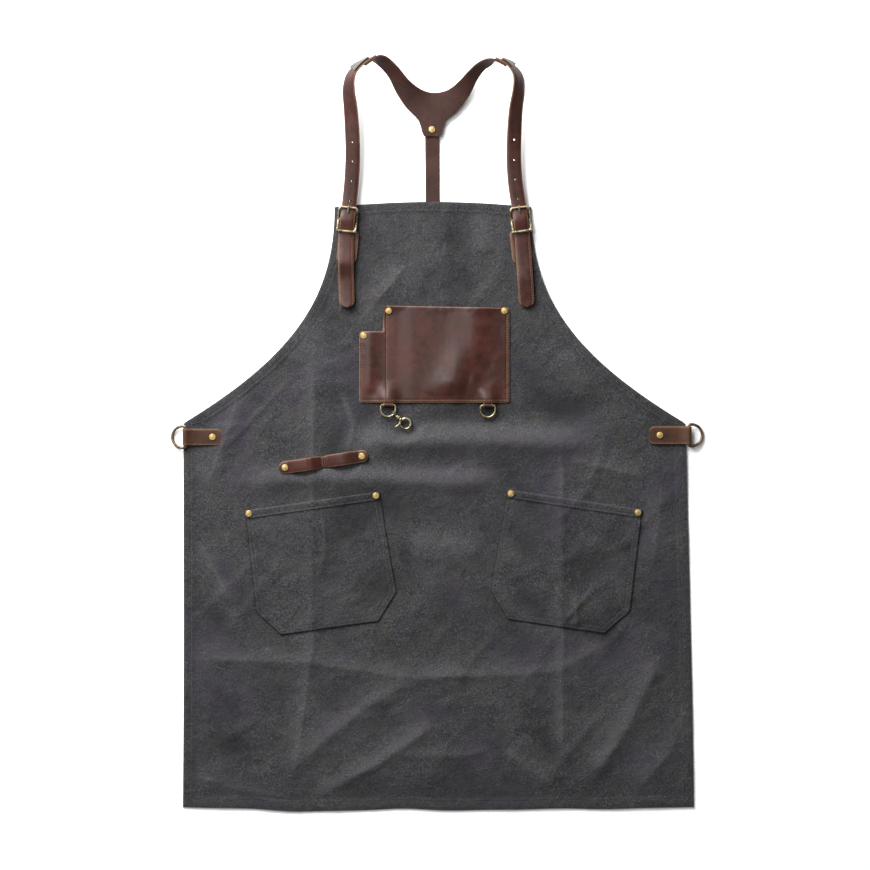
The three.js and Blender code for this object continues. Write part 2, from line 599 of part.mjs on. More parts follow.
// The hook hangs on the left chest ring's bow and lies down towards the canvas
const hooked = CHEST_RINGS[0];
const linkReach = CHEST_RING.reach - CHEST_RING.half - CHEST_RING.half * Math.sin(radians(HOOK.linkAngle));
const hookPlace = new THREE.Matrix4().makeTranslation(
  hooked.x + CHEST_RING.half * Math.cos(radians(HOOK.linkAngle)),
  hooked.barY - linkReach * Math.cos(radians(hooked.tilt)),
  hooked.barZ + linkReach * Math.sin(radians(hooked.tilt)),
);
hookPlace.multiply(new THREE.Matrix4().makeRotationZ(radians(HOOK.linkAngle)));
hookPlace.multiply(new THREE.Matrix4().makeRotationY(radians(HOOK.dip)));
keep("hook_body", hookBody().applyMatrix4(hookPlace), "antique");
keep("hook_lever", hookLever().applyMatrix4(hookPlace), "antique");

// Canvas pockets: sewn flat at the sides and foot, a little slack at the mouth
for (const pocket of POCKETS) {
  const turn = radians(pocket.turn);
  const depths = [0, 11, 42, 74, 106, POCKET.side, 154, POCKET.depth];
  const sheet = closedSheet(depths.length - 1, 9, (along, acrossShare, side) => {
    const depth = depths[Math.round(along * (depths.length - 1))];
    const belowSide = Math.max(0, (depth - POCKET.side) / (POCKET.depth - POCKET.side));
    const spread = THREE.MathUtils.lerp(POCKET.mouth, POCKET.widest, Math.min(1, depth / POCKET.side));
    const aside = (acrossShare - 0.5) * THREE.MathUtils.lerp(spread, POCKET.foot, belowSide);
    const x = pocket.mouthX + aside * Math.cos(turn) + depth * Math.sin(turn);
    const y = pocket.mouthY + aside * Math.sin(turn) - depth * Math.cos(turn);
    const slack = 1.8 * Math.sin(Math.PI * acrossShare) * (1 - (depth / POCKET.depth) ** 2);
    const seat = heights([canvas], x, y, 13).top + GAP + slack;
    return new THREE.Vector3(x, y, seat + side * POCKET_WALL);
  });
  keep(`pocket_${pocket.side}`, sheet, "canvas");
}

/** Height that the chest pocket has to clear at a spot: the canvas, and the ring tabs under its foot. */
function underChestPocket(x, y) {
  let level = heights([canvas], x, y, 11).top;
  for (const ring of CHEST_RINGS) {
    const tab = shapeOf(`ring_tab_${ring.side}`);
    const aside = CHEST_TAB.width / 2;
    const tabTop = levelUnder([tab], ring.x - aside + 1, ring.x + aside - 1, CHEST.foot, CHEST.foot + 4);
    const near = Math.abs(x - ring.x) < aside + 9 && y < ring.barY + CHEST_TAB.length + 10;
    level = near ? Math.max(level, tabTop) : level;
  }
  return level;
}

/** The chest pocket's wall: columns step down at the pen pocket, rows run from foot to mouth. */
function chestPocket() {
  const columns = CHEST_COLUMNS.map((x) => {
    const pen = x < CHEST.step;
    const share = pen
      ? (x - CHEST.left) / (CHEST.step - CHEST.left)
      : (x - CHEST.step) / (CHEST.right - CHEST.step);
    const slack = (pen ? 0.8 : CHEST.bulge) * Math.sin(Math.PI * share);
    return { x, slack, top: pen ? CHEST.penTop : CHEST.top };
  });
  return closedSheet(7, columns.length - 1, (along, acrossShare, side) => {
    const column = columns[Math.round(acrossShare * (columns.length - 1))];
    const y = THREE.MathUtils.lerp(CHEST.foot, column.top, along);
    const seat = underChestPocket(column.x, y) + GAP + column.slack * smooth(along);
    return new THREE.Vector3(column.x, y, seat + side * CHEST_WALL);
  });
}
keep("chest_pocket", chestPocket(), "leather");

// Tool strip: sewn at both ends and in the middle, with a loop on each side of the middle
keep(
  "tool_strip",
  closedSheet(24, 1, (along, acrossShare, side) => {
    const turn = radians(TOOL_STRIP.turn);
    const run = (2 * along - 1) * TOOL_STRIP.half;
    const fromEnd = TOOL_STRIP.half - Math.abs(run);
    const width = TOOL_STRIP.width * Math.min(1, 0.5 + 0.12 * fromEnd);
    const aside = (acrossShare - 0.5) * width;
    const x = TOOL_STRIP.x + run * Math.cos(turn) - aside * Math.sin(turn);
    const y = TOOL_STRIP.y + run * Math.sin(turn) + aside * Math.cos(turn);
    const loop = THREE.MathUtils.clamp((Math.abs(run) - 4) / (TOOL_STRIP.half - 16), 0, 1);
    const rise = TOOL_STRIP.loopRise * Math.sin(Math.PI * loop) ** 1.2;
    return new THREE.Vector3(x, y, heights([canvas], x, y, 9).top + GAP + rise + side * TOOL_STRIP.wall);
  }),
  "leather",
);

// Back strap, front straps, and the yoke whose arms tuck under the strap ends
keep("back_strap", stripAlong(strapFrames(BACK_STRAP_SECTIONS), { steps: 20, wall: STRAP_WALL }), "flesh");
const frames = { left: strapFrames(STRAP_SECTIONS.left), right: strapFrames(STRAP_SECTIONS.right) };
const upward = { left: 1, right: -1 }; // sign of a strap's sideways direction where it stands on edge

/** A section of the yoke that lies against the inside of a strap. */
function tuckedSection(side, share) {
  const frame = frames[side](share);
  const inward = (STRAP_WALL + YOKE_WALL) / 2 + 3 * GAP;
  const middle = frame.middle.clone().addScaledVector(frame.outward, -inward);
  const half = frame.across.clone().multiplyScalar((upward[side] * (frame.width + 1)) / 2);
  return { neck: middle.clone().add(half), low: middle.clone().sub(half) };
}

/** The yoke: sections from one shoulder to the other, flesh side up. */
function yoke() {
  const sections = [
    ...YOKE_TUCK.map((share) => tuckedSection("left", share)),
    ...YOKE_SECTIONS.map((row) => ({
      neck: new THREE.Vector3(row.neckX, row.neckY, row.neckZ),
      low: new THREE.Vector3(row.lowX, row.lowY, row.lowZ),
    })),
    ...YOKE_TUCK.toReversed().map((share) => tuckedSection("right", share)),
  ];
  const neck = new THREE.CatmullRomCurve3(sections.map((s) => s.neck));
  const low = new THREE.CatmullRomCurve3(sections.map((s) => s.low));
  return closedSheet(2 * (sections.length - 1), 2, (along, acrossShare, side) => {
    const from = neck.getPoint(along);
    const across = low.getPoint(along).sub(from);
    const ahead = neck.getTangent(along).add(low.getTangent(along));
    const up = new THREE.Vector3().crossVectors(across, ahead).normalize();
    return from.addScaledVector(across, acrossShare).addScaledVector(up, (side - 0.5) * YOKE_WALL);
  });
}
keep("yoke", yoke(), "flesh");

// Buckles, one for each front strap, with the heel bar in a leather tab on the bib
for (const side of ["left", "right"]) {
  const rows = STRAP_SECTIONS[side];
  const heel = rows.find((row) => row.y === HEEL_Y);
  const above = rows[rows.indexOf(heel) + 1];
  const below = rows[rows.indexOf(heel) - 1];
  const turn = Math.atan2(below.x - above.x, above.y - below.y);
  const fold = BUCKLE.heelWire + GAP + BUCKLE_TAB.leather;
  const reachX = BUCKLE_TAB.width / 2 + 4;
  const tabFoot = HEEL_Y - BUCKLE_TAB.length;
  const level = levelUnder([canvas], heel.x - reachX, heel.x + reachX, tabFoot, HEEL_Y + 5);
  const heelZ = level + GAP + fold;
  const barRise = Math.max(above.z, below.z) + STRAP_WALL / 2 + GAP + BUCKLE.wire - heelZ;
  const place = (geometry) => geometry.rotateZ(turn).translate(heel.x, HEEL_Y, heelZ);

  const corner = BUCKLE.corner;
  const outline = [
    ...arc(BUCKLE.half - corner, BAR_Y - corner, corner, 0, 90, 3),
    ...arc(corner - BUCKLE.half, BAR_Y - corner, corner, 90, 180, 3),
    new THREE.Vector2(-BUCKLE.half, 5),
    new THREE.Vector2(-BUCKLE.half, 0),
    new THREE.Vector2(-BUCKLE.half, -5),
    ...arc(corner - BUCKLE.half, corner - BAR_Y, corner, 180, 270, 3),
    ...arc(BUCKLE.half - corner, corner - BAR_Y, corner, 270, 360, 3),
    new THREE.Vector2(BUCKLE.half, -5),
    new THREE.Vector2(BUCKLE.half, 0),
    new THREE.Vector2(BUCKLE.half, 5),
  ];
  const points = outline.map((p) => {
    const climb = Math.min(1, Math.abs(p.y) / (BAR_Y - corner));
    return new THREE.Vector3(p.x, p.y, barRise * climb ** 2);
  });
  const curve = new THREE.CatmullRomCurve3(points, true, "centripetal");
  const frame = mergeVertices(new THREE.TubeGeometry(curve, 26, BUCKLE.wire, 6, true));
  const heelBar = new THREE.CylinderGeometry(BUCKLE.heelWire, BUCKLE.heelWire, 2 * BUCKLE.half, 8);
  keep(`buckle_${side}`, place(join(frame, heelBar.rotateZ(Math.PI / 2))), "antique");

  const eye = new THREE.TorusGeometry(BUCKLE.heelWire + GAP + BUCKLE.prongWire, BUCKLE.prongWire, 5, 8);
  const overBar = barRise + BUCKLE.wire + GAP + BUCKLE.prongWire;
  const shank = rod(
    [
      new THREE.Vector3(0, 0.8, BUCKLE.heelWire + GAP + BUCKLE.prongWire),
      new THREE.Vector3(0, 0.35 * BAR_Y, 0.55 * overBar),
      new THREE.Vector3(0, 0.7 * BAR_Y, 0.88 * overBar),
      new THREE.Vector3(0, BAR_Y, overBar),
      new THREE.Vector3(0, BAR_Y + 3, overBar - 0.4),
    ],
    BUCKLE.prongWire,
    6,
    7,
  );
  keep(`prong_${side}`, place(join(eye.rotateY(Math.PI / 2), shank)), "antique");

  const tab = foldedTab({ ...BUCKLE_TAB, bar: BUCKLE.heelWire });
  const slot = new THREE.BoxGeometry(4 * fold, 2 * BUCKLE.prongWire + 1.2, 4 * fold);
  const holder = cut(tab, slot).rotateZ(-Math.PI / 2);
  keep(`buckle_tab_${side}`, place(holder), "leather");

  const strap = stripAlong(frames[side], { steps: STRAP_STEPS, wall: STRAP_WALL });
  const prongSlot = place(new THREE.BoxGeometry(2 * BUCKLE.prongWire + 1, 9.5, 12).translate(0, 6.6, 6));
  const holes = STRAP_HOLES[side].map((hole) => {
    const punch = new THREE.CylinderGeometry(HOLE_RADIUS, HOLE_RADIUS, 40, 6).rotateX(Math.PI / 2);
    return punch.translate(hole.x, hole.y, 20);
  });
  keep(`strap_${side}`, cut(strap, prongSlot, ...holes), "leather");
  const lift = STRAP_WALL / 2 + GAP + PATCH.wall / 2;
  const patch = stripAlong(frames[side], { ...PATCH[side], steps: 4, wall: PATCH.wall, lift, trim: 2 });
  keep(`shoulder_patch_${side}`, patch, "leather");
}

/** A rivet: back cap, post and domed cap, between two heights. */
function rivet(x, y, bottom, top) {
  const profile = [
    new THREE.Vector2(0, bottom - 0.9),
    new THREE.Vector2(3.4, bottom - 0.9),
    new THREE.Vector2(3.4, bottom),
    new THREE.Vector2(RIVET_POST_RADIUS, bottom),
    new THREE.Vector2(RIVET_POST_RADIUS, top),
    new THREE.Vector2(RIVET_CAP_RADIUS, top),
    new THREE.Vector2(0.72 * RIVET_CAP_RADIUS, top + 1.6),
    new THREE.Vector2(0, top + 2.3),
  ];
  return mergeVertices(new THREE.LatheGeometry(profile, 8)).rotateX(Math.PI / 2).translate(x, y, 0);
}

const rivetSpots = [
  ...CHEST_RIVETS.map((spot) => ({ ...spot, through: ["canvas_body", "chest_pocket"] })),
  ...POCKETS.flatMap((pocket) =>
    [-1, 1].map((end) => {
      const turn = radians(pocket.turn);
      const aside = end * (POCKET.mouth / 2 - POCKET.rivetIn);
      return {
        x: pocket.mouthX + aside * Math.cos(turn) + POCKET.rivetDown * Math.sin(turn),
        y: pocket.mouthY + aside * Math.sin(turn) - POCKET.rivetDown * Math.cos(turn),
        through: ["canvas_body", `pocket_${pocket.side}`],
      };
    }),
  ),
  ...SIDE_RINGS.map((ring) => ({
    x: ring.rivetX,
    y: ring.barY,
    through: ["canvas_body", `side_tab_${ring.side}`],
  })),
  ...[-1, 1].map((end) => ({
    x: TOOL_STRIP.x + end * (TOOL_STRIP.half - TOOL_STRIP.rivetIn) * Math.cos(radians(TOOL_STRIP.turn)),
    y: TOOL_STRIP.y + end * (TOOL_STRIP.half - TOOL_STRIP.rivetIn) * Math.sin(radians(TOOL_STRIP.turn)),
    through: ["canvas_body", "tool_strip"],
  })),
  { ...YOKE_RIVET, through: ["back_strap", "yoke"] },
];

// Rivets are sized on the plain sheets first, then all their holes are drilled
const drills = new Map();
rivetSpots.forEach((spot, k) => {
  const stack = spot.through.map(shapeOf);
  const { top, bottom } = heights(stack, spot.x, spot.y, RIVET_CAP_RADIUS);
  const name = `rivet_${String(k + 1).padStart(2, "0")}`;
  keep(name, rivet(spot.x, spot.y, bottom - GAP, top + GAP), "brass");
  for (const pierced of spot.through) {
    const drill = new THREE.CylinderGeometry(RIVET_POST_RADIUS + GAP, RIVET_POST_RADIUS + GAP, 60, 6);
    drill.rotateX(Math.PI / 2).translate(spot.x, spot.y, 20);
    drills.set(pierced, [...(drills.get(pierced) ?? []), drill]);
  }
});
for (const [name, tools] of drills) {
  shapes.get(name).geometry = cut(shapeOf(name), ...tools);
}

for (const [name, { geometry, finish }] of shapes) {
  addPiece(name, geometry, finish);
}

export default apron;
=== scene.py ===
"""Looks of a canvas and leather work apron that lies on its back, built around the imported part.

Inside the classes all lengths are millimetres in the part's own frame; meshes are made in metres.
"""

import json
import logging
import math
from dataclasses import dataclass, field
from enum import Enum
from typing import NamedTuple, Optional, Sequence

import bpy
import numpy as np
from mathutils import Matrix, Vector

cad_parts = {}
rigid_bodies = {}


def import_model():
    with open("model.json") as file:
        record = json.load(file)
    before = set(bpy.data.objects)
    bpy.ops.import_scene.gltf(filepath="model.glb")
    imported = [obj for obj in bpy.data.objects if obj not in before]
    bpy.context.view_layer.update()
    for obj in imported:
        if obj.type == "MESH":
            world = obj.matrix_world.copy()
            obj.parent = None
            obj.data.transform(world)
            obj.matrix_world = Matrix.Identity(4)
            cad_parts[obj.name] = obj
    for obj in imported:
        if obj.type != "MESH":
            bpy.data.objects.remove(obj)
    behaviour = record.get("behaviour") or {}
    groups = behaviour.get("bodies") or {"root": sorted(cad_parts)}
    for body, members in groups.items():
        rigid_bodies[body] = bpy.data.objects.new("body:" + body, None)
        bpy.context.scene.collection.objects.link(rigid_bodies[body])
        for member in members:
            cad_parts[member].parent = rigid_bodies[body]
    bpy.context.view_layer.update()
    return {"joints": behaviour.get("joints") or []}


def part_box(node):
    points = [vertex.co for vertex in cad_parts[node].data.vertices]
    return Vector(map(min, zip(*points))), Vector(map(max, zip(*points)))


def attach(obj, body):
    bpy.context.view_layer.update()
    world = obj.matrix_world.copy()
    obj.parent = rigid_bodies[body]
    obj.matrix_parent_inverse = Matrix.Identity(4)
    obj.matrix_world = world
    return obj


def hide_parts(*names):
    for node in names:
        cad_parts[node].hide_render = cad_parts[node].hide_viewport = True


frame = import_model()

log = logging.getLogger("apron")
Array = np.ndarray
Colour = tuple[float, float, float]
Pair = tuple[float, float]
Place = tuple[float, float, float]
Face = tuple[int, ...]
Socket = bpy.types.NodeSocket
Node = bpy.types.Node
Tree = bpy.types.NodeTree
Material = bpy.types.Material
MM = 0.001
# Clearance between a piece and what carries it.
GAP = 0.3
UP = np.array([0.0, 0.0, 1.0])
UNTURNED = np.eye(3)


class Body(str, Enum):
    """Bodies of the part that pieces ride on."""

    APRON = "apron"
    SIDE_RING_LEFT = "side_ring_left"
    SIDE_RING_RIGHT = "side_ring_right"
    CHEST_RING_LEFT = "chest_ring_left"
    CHEST_RING_RIGHT = "chest_ring_right"
    HOOK_LEVER = "hook_lever"


class Slot(str, Enum):
    """Material slots of the record."""

    CANVAS = "canvas"
    LEATHER = "leather"
    FLESH = "flesh_leather"
    ANTIQUE = "antique_brass"
    BRASS = "brass"


class Side(str, Enum):
    """The two sides of the apron as seen from above."""

    LEFT = "left"
    RIGHT = "right"

    @property
    def sign(self) -> int:
        """-1 on the left, 1 on the right."""
        return -1 if self is Side.LEFT else 1


class FoldForm(Enum):
    """How a fold's cross-section rounds off."""

    SOFT = "soft"
    CREASE = "crease"


SOFT, CREASE = FoldForm.SOFT, FoldForm.CREASE


def smooth(t: Array) -> Array:
    """Smooth step from 0 to 1."""
    t = np.clip(t, 0.0, 1.0)
    return t * t * (3.0 - 2.0 * t)


def bell(away: Array, spread: float) -> Array:
    """A bump that is 1 at no distance and dies away with it."""
    return np.exp(-((away / spread) ** 2))


def lerp(a: float, b: float, t: Array) -> Array:
    """Straight blend from a to b."""
    return a + (b - a) * t


def least(*values: Array) -> Array:
    """The smallest of several values at each spot."""
    return np.minimum.reduce(np.broadcast_arrays(*values))


def unit(v: Array) -> Array:
    """Vectors scaled to length 1, along the last axis."""
    return v / np.maximum(np.linalg.norm(v, axis=-1, keepdims=True), 1e-12)


def turns(count: int) -> Array:
    """Angles of evenly spaced points round a circle."""
    return 2 * math.pi * np.arange(count) / count


def run_along(path: Array) -> Array:
    """Distances walked along a line of points, from 0 at its start."""
    return np.concatenate([[0.0], np.cumsum(np.linalg.norm(np.diff(path, axis=0), axis=1))])


def sampled(rows: Array, run: Array, wanted: Array) -> Array:
    """Rows of a table at chosen distances along its line."""
    return np.stack([np.interp(wanted, run, rows[:, c]) for c in range(rows.shape[1])], axis=1)


def spline(rows: Array, spots: Array) -> Array:
    """Smooth curve through table rows.

    Args:
        rows: One row for each section; the first three columns are a place.
        spots: Where to sample, as row numbers with fractions.

    Returns:
        Samples with the same columns as the rows.
    """
    rows = np.asarray(rows, float)
    chords = np.sqrt(np.linalg.norm(np.diff(rows[:, :3], axis=0), axis=1))
    at = np.concatenate([[0.0], np.cumsum(chords)])
    slope = np.gradient(rows, at, axis=0)
    wanted = np.interp(spots, np.arange(len(rows)), at)
    k = np.clip(np.searchsorted(at, wanted, side="right") - 1, 0, len(at) - 2)
    span = (at[k + 1] - at[k])[:, None]
    t = ((wanted - at[k])[:, None]) / span
    start = (2 * t**3 - 3 * t**2 + 1) * rows[k] + (t**3 - 2 * t**2 + t) * span * slope[k]
    end = (-2 * t**3 + 3 * t**2) * rows[k + 1] + (t**3 - t**2) * span * slope[k + 1]
    return start + end


def resample(path: Array, step: float) -> Array:
    """Points along a line, from its start to its end, about a step apart."""
    run = run_along(path)
    return sampled(path, run, np.linspace(0.0, run[-1], max(2, int(round(run[-1] / step)) + 1)))


def arc(x: float, y: float, radius: float, start: float, end: float, steps: int) -> Array:
    """Points of a plan arc between two angles in degrees."""
    angle = np.radians(np.linspace(start, end, steps + 1))
    return np.stack([x + radius * np.cos(angle), y + radius * np.sin(angle)], axis=1)


def flat_points(plan: Array, z: float = 0.0) -> Array:
    """Plan points as points in space at one height."""
    return np.column_stack([plan, np.full(len(plan), z)])


def turn_z(angle: float) -> Array:
    """Turn about Z, in radians."""
    c, s = math.cos(angle), math.sin(angle)
    return np.array([[c, -s, 0.0], [s, c, 0.0], [0.0, 0.0, 1.0]])


def turn_y(angle: float) -> Array:
    """Turn about Y, in radians."""
    c, s = math.cos(angle), math.sin(angle)
    return np.array([[c, 0.0, s], [0.0, 1.0, 0.0], [-s, 0.0, c]])


@dataclass
class Shape:
    """A mesh in millimetres, with named values at its vertices."""

    vertices: Array
    faces: list[Face]
    values: dict[str, Array] = field(default_factory=dict)

    def moved(self, matrix: Array, shift: Sequence[float]) -> "Shape":
        """The shape turned by a matrix and then shifted."""
        return Shape(self.vertices @ np.asarray(matrix).T + np.asarray(shift), self.faces, self.values)

    @staticmethod
    def joined(shapes: Sequence["Shape"]) -> "Shape":
        """Several shapes as one.

        Args:
            shapes: The shapes, which have the same named values.

        Returns:
            One shape that holds them all.
        """
        faces: list[Face] = []
        start = 0
        for shape in shapes:
            faces.extend([tuple(k + start for k in face) for face in shape.faces])
            start += len(shape.vertices)
        names = shapes[0].values.keys()
        values = {name: np.concatenate([s.values[name] for s in shapes]) for name in names}
        return Shape(np.concatenate([s.vertices for s in shapes]), faces, values)


def raised(x: Array, y: Array, z: Array) -> Array:
    """Points of a grid in space."""
    return np.stack([x, y, z], axis=-1)


def closed_wall(top: Array, under: Array, values: dict[str, Array], keep: int = 4) -> Shape:
    """A closed wall between a fine upper grid and an underside with fewer columns.

    Args:
        top: Upper points, rows by columns by 3, columns to +X and rows to +Y.
        under: Lower points on the same grid.
        values: Named values on the grid.
        keep: The underside keeps every so many columns.

    Returns:
        The closed shape.
    """
    rows, columns = top.shape[:2]
    kept = sorted({*range(0, columns, keep), columns - 1})
    upper = np.arange(rows * columns).reshape(rows, columns)
    lower = rows * columns + np.arange(rows * len(kept)).reshape(rows, len(kept))
    faces: list = []
    quads = np.stack([upper[:-1, :-1], upper[:-1, 1:], upper[1:, 1:], upper[1:, :-1]], axis=-1)
    faces.extend(map(tuple, quads.reshape(-1, 4).tolist()))
    quads = np.stack([lower[:-1, :-1], lower[1:, :-1], lower[1:, 1:], lower[:-1, 1:]], axis=-1)
    faces.extend(map(tuple, quads.reshape(-1, 4).tolist()))
    for r in range(rows - 1):
        faces.append((upper[r, 0], upper[r + 1, 0], lower[r + 1, 0], lower[r, 0]))
        faces.append((upper[r, -1], lower[r, -1], lower[r + 1, -1], upper[r + 1, -1]))
    for k in range(len(kept) - 1):
        run = list(range(kept[k], kept[k + 1] + 1))
        faces.append((lower[0, k], lower[0, k + 1], *(upper[0, c] for c in reversed(run))))
        faces.append((lower[-1, k + 1], lower[-1, k], *(upper[-1, c] for c in run)))
    vertices = np.concatenate([top.reshape(-1, 3), under[:, kept].reshape(-1, 3)])
    named = {
        name: np.concatenate([grid.reshape(-1), grid[:, kept].reshape(-1)])
        for name, grid in values.items()
    }
    return Shape(vertices, [tuple(int(i) for i in f) for f in faces], named)


def skin(rings: int, sides: int, closed: bool = False, caps: bool = True) -> list[Face]:
    """Faces of a tube whose vertices are numbered ring by ring.

    Args:
        rings: Number of rings.
        sides: Number of vertices in a ring.
        closed: Whether the last ring joins the first.
        caps: Whether flat faces close the two ends.

    Returns:
        The faces, from the first ring to the last.
    """
    index = np.arange(rings * sides).reshape(rings, sides)
    rows = np.concatenate([index, index[:1]]) if closed else index
    turned = np.roll(rows, -1, axis=1)
    quads = np.stack([rows[:-1], turned[:-1], turned[1:], rows[1:]], axis=-1).reshape(-1, 4)
    faces = [tuple(q) for q in quads.tolist()]
    if caps:
        faces += [tuple(index[0][::-1].tolist()), tuple(index[-1].tolist())]
    return faces


def ribbon(
    path: Array,
    across: Array,
    outward: Array,
    width: Array,
    wall: float,
    columns: int = 8,
    bevel: float = 0.6,
    crown: float = 0.0,
    thin: float | Array = 1.0,
) -> Shape:
    """A leather strip with rounded edges.

    Args:
        path: Middle points of the strip.
        across: Sideways directions at the points.
        outward: Directions of the upper face at the points.
        width: Widths at the points.
        wall: Thickness.
        columns: Number of columns of the upper face.
        bevel: Radius of the rounded edges.
        crown: How much lower the upper face is at its edges than in the middle.
        thin: Shares of the thickness that are left at the points.

    Returns:
        The closed strip; the value edge is 1 on its cut sides.
    """
    bevel = min(bevel, 0.48 * wall)
    face = np.linspace(-1.0, 1.0, columns + 1)
    round_off = 0.3 * bevel
    section = [(u, -bevel, wall / 2, 0.7 if abs(u) == 1.0 else 0.0) for u in face]
    section += [(1.0, -round_off, wall / 2 - round_off, 0.6), (1.0, 0.0, wall / 2 - bevel, 1.0)]
    section += [(1.0, 0.0, bevel - wall / 2, 1.0), (1.0, -bevel, -wall / 2, 0.4)]
    section += [(-1.0, -bevel, -wall / 2, 0.4), (-1.0, 0.0, bevel - wall / 2, 1.0)]
    section += [(-1.0, 0.0, wall / 2 - bevel, 1.0), (-1.0, -round_off, wall / 2 - round_off, 0.6)]
    share, inset, height, edge = (np.array(c) for c in zip(*section))
    height = height - np.where(height > 0.0, crown * share**4, 0.0)
    half = np.asarray(width)[:, None] / 2
    side = share[None] * half + np.sign(share)[None] * np.where(np.abs(share) == 1.0, inset, 0.0)[None]
    side = np.where(np.abs(share)[None] < 1.0, share[None] * (half - bevel), side)
    rise = np.broadcast_to(height, side.shape) * np.reshape(thin, (-1, 1))
    points = path[:, None] + across[:, None] * side[..., None] + outward[:, None] * rise[..., None]
    edges = np.tile(edge, (len(path), 1))
    edges[[0, -1]] = 1.0
    return Shape(points.reshape(-1, 3), skin(len(path), len(section)), {"edge": edges.reshape(-1)})


def tube(path: Array, radius: float | Array, sides: int = 12, closed: bool = False) -> Shape:
    """Round wire along points.

    Args:
        path: Points of the wire's middle line.
        radius: One radius, or one for each point.
        sides: Number of sides.
        closed: Whether the wire runs back into its start.

    Returns:
        The wire, with flat ends where it is open.
    """
    path = np.asarray(path, float)
    ahead = np.roll(path, -1, axis=0) - np.roll(path, 1, axis=0)
    if not closed:
        ahead[0] = path[1] - path[0]
        ahead[-1] = path[-1] - path[-2]
    ahead = unit(ahead)
    normal = unit(np.cross(ahead[0], [0.31, 0.17, 0.94]))
    normals = []
    for tangent in ahead:
        normal = unit(normal - tangent * np.dot(normal, tangent))
        normals.append(normal)
    normals = np.array(normals)
    sideways = np.cross(ahead, normals)
    angle = turns(sides)
    radii = np.broadcast_to(np.asarray(radius, float), (len(path),))[:, None, None]
    ring = normals[:, None] * np.cos(angle)[None, :, None] + sideways[:, None] * np.sin(angle)[None, :, None]
    points = path[:, None] + radii * ring
    return Shape(points.reshape(-1, 3), skin(len(path), sides, closed, not closed))


def lathe(profile: Sequence[Pair], segments: int = 32) -> Shape:
    """A shape turned about Z.

    Args:
        profile: Pairs of radius and height, from the bottom of the axis to its top.
        segments: Number of sides.

    Returns:
        The closed shape.
    """
    radius, height = np.array(profile).T
    angle = turns(segments)
    inner, level = radius[1:-1, None], height[1:-1, None]
    across = [inner * np.cos(angle), inner * np.sin(angle)]
    rings = np.stack([*across, np.broadcast_to(level, across[0].shape)], axis=-1)
    faces = skin(len(rings), segments, caps=False)
    foot = len(rings) * segments
    last = foot - segments
    for k in range(segments):
        after = (k + 1) % segments
        faces.append((foot, after, k))
        faces.append((foot + 1, last + k, last + after))
    ends = [[0.0, 0.0, height[0]], [0.0, 0.0, height[-1]]]
    return Shape(np.concatenate([rings.reshape(-1, 3), ends]), faces)


class Sewing(NamedTuple):
    """A seam's pitch from stitch to stitch, the visible length of a stitch, and the thread's diameter."""

    pitch: float
    length: float
    thread: float


# Stations along a stitch: share of its length, share of the thread's thickness, and lift.
STITCH_STATIONS = ((-0.5, 0.45, -0.45), (-0.25, 1.0, 0.1), (0.25, 1.0, 0.1), (0.5, 0.45, -0.45))
STITCH_SIDES = 6


def stitches(path: Array, up: Array, sewing: Sewing) -> Shape:
    """A row of sewn stitches along a line on a surface.

    Args:
        path: Points of the seam, on the surface.
        up: Direction out of the surface, for every point or one for all.
        sewing: How the seam is sewn.

    Returns:
        All the stitches as one shape.
    """
    pitch, length, thread = sewing
    line = np.column_stack([path, np.broadcast_to(up, path.shape)])
    run = run_along(path)
    count = max(1, int(run[-1] / pitch))
    centres = (np.arange(count) + 0.5) * run[-1] / count
    middle = sampled(line, run, centres)
    reach = [sampled(path, run, centres + way * length / 2) for way in (1, -1)]
    ahead = unit(reach[0] - reach[1])
    rise = unit(middle[:, 3:])
    aside = unit(np.cross(rise, ahead))
    angle = turns(STITCH_SIDES)
    rings = []
    for along, thick, lift in STITCH_STATIONS:
        offset = aside[:, None] * np.cos(angle)[None, :, None] + rise[:, None] * np.sin(angle)[None, :, None]
        ring = middle[:, None, :3] + ahead[:, None] * along * length
        rings.append(ring + rise[:, None] * lift * thread / 2 + offset * thick * thread / 2)
    points = np.stack(rings, axis=1)
    one = skin(len(STITCH_STATIONS), STITCH_SIDES)
    per = len(STITCH_STATIONS) * STITCH_SIDES
    faces = [tuple(i + per * k for i in face) for k in range(count) for face in one]
    return Shape(points.reshape(-1, 3), faces)


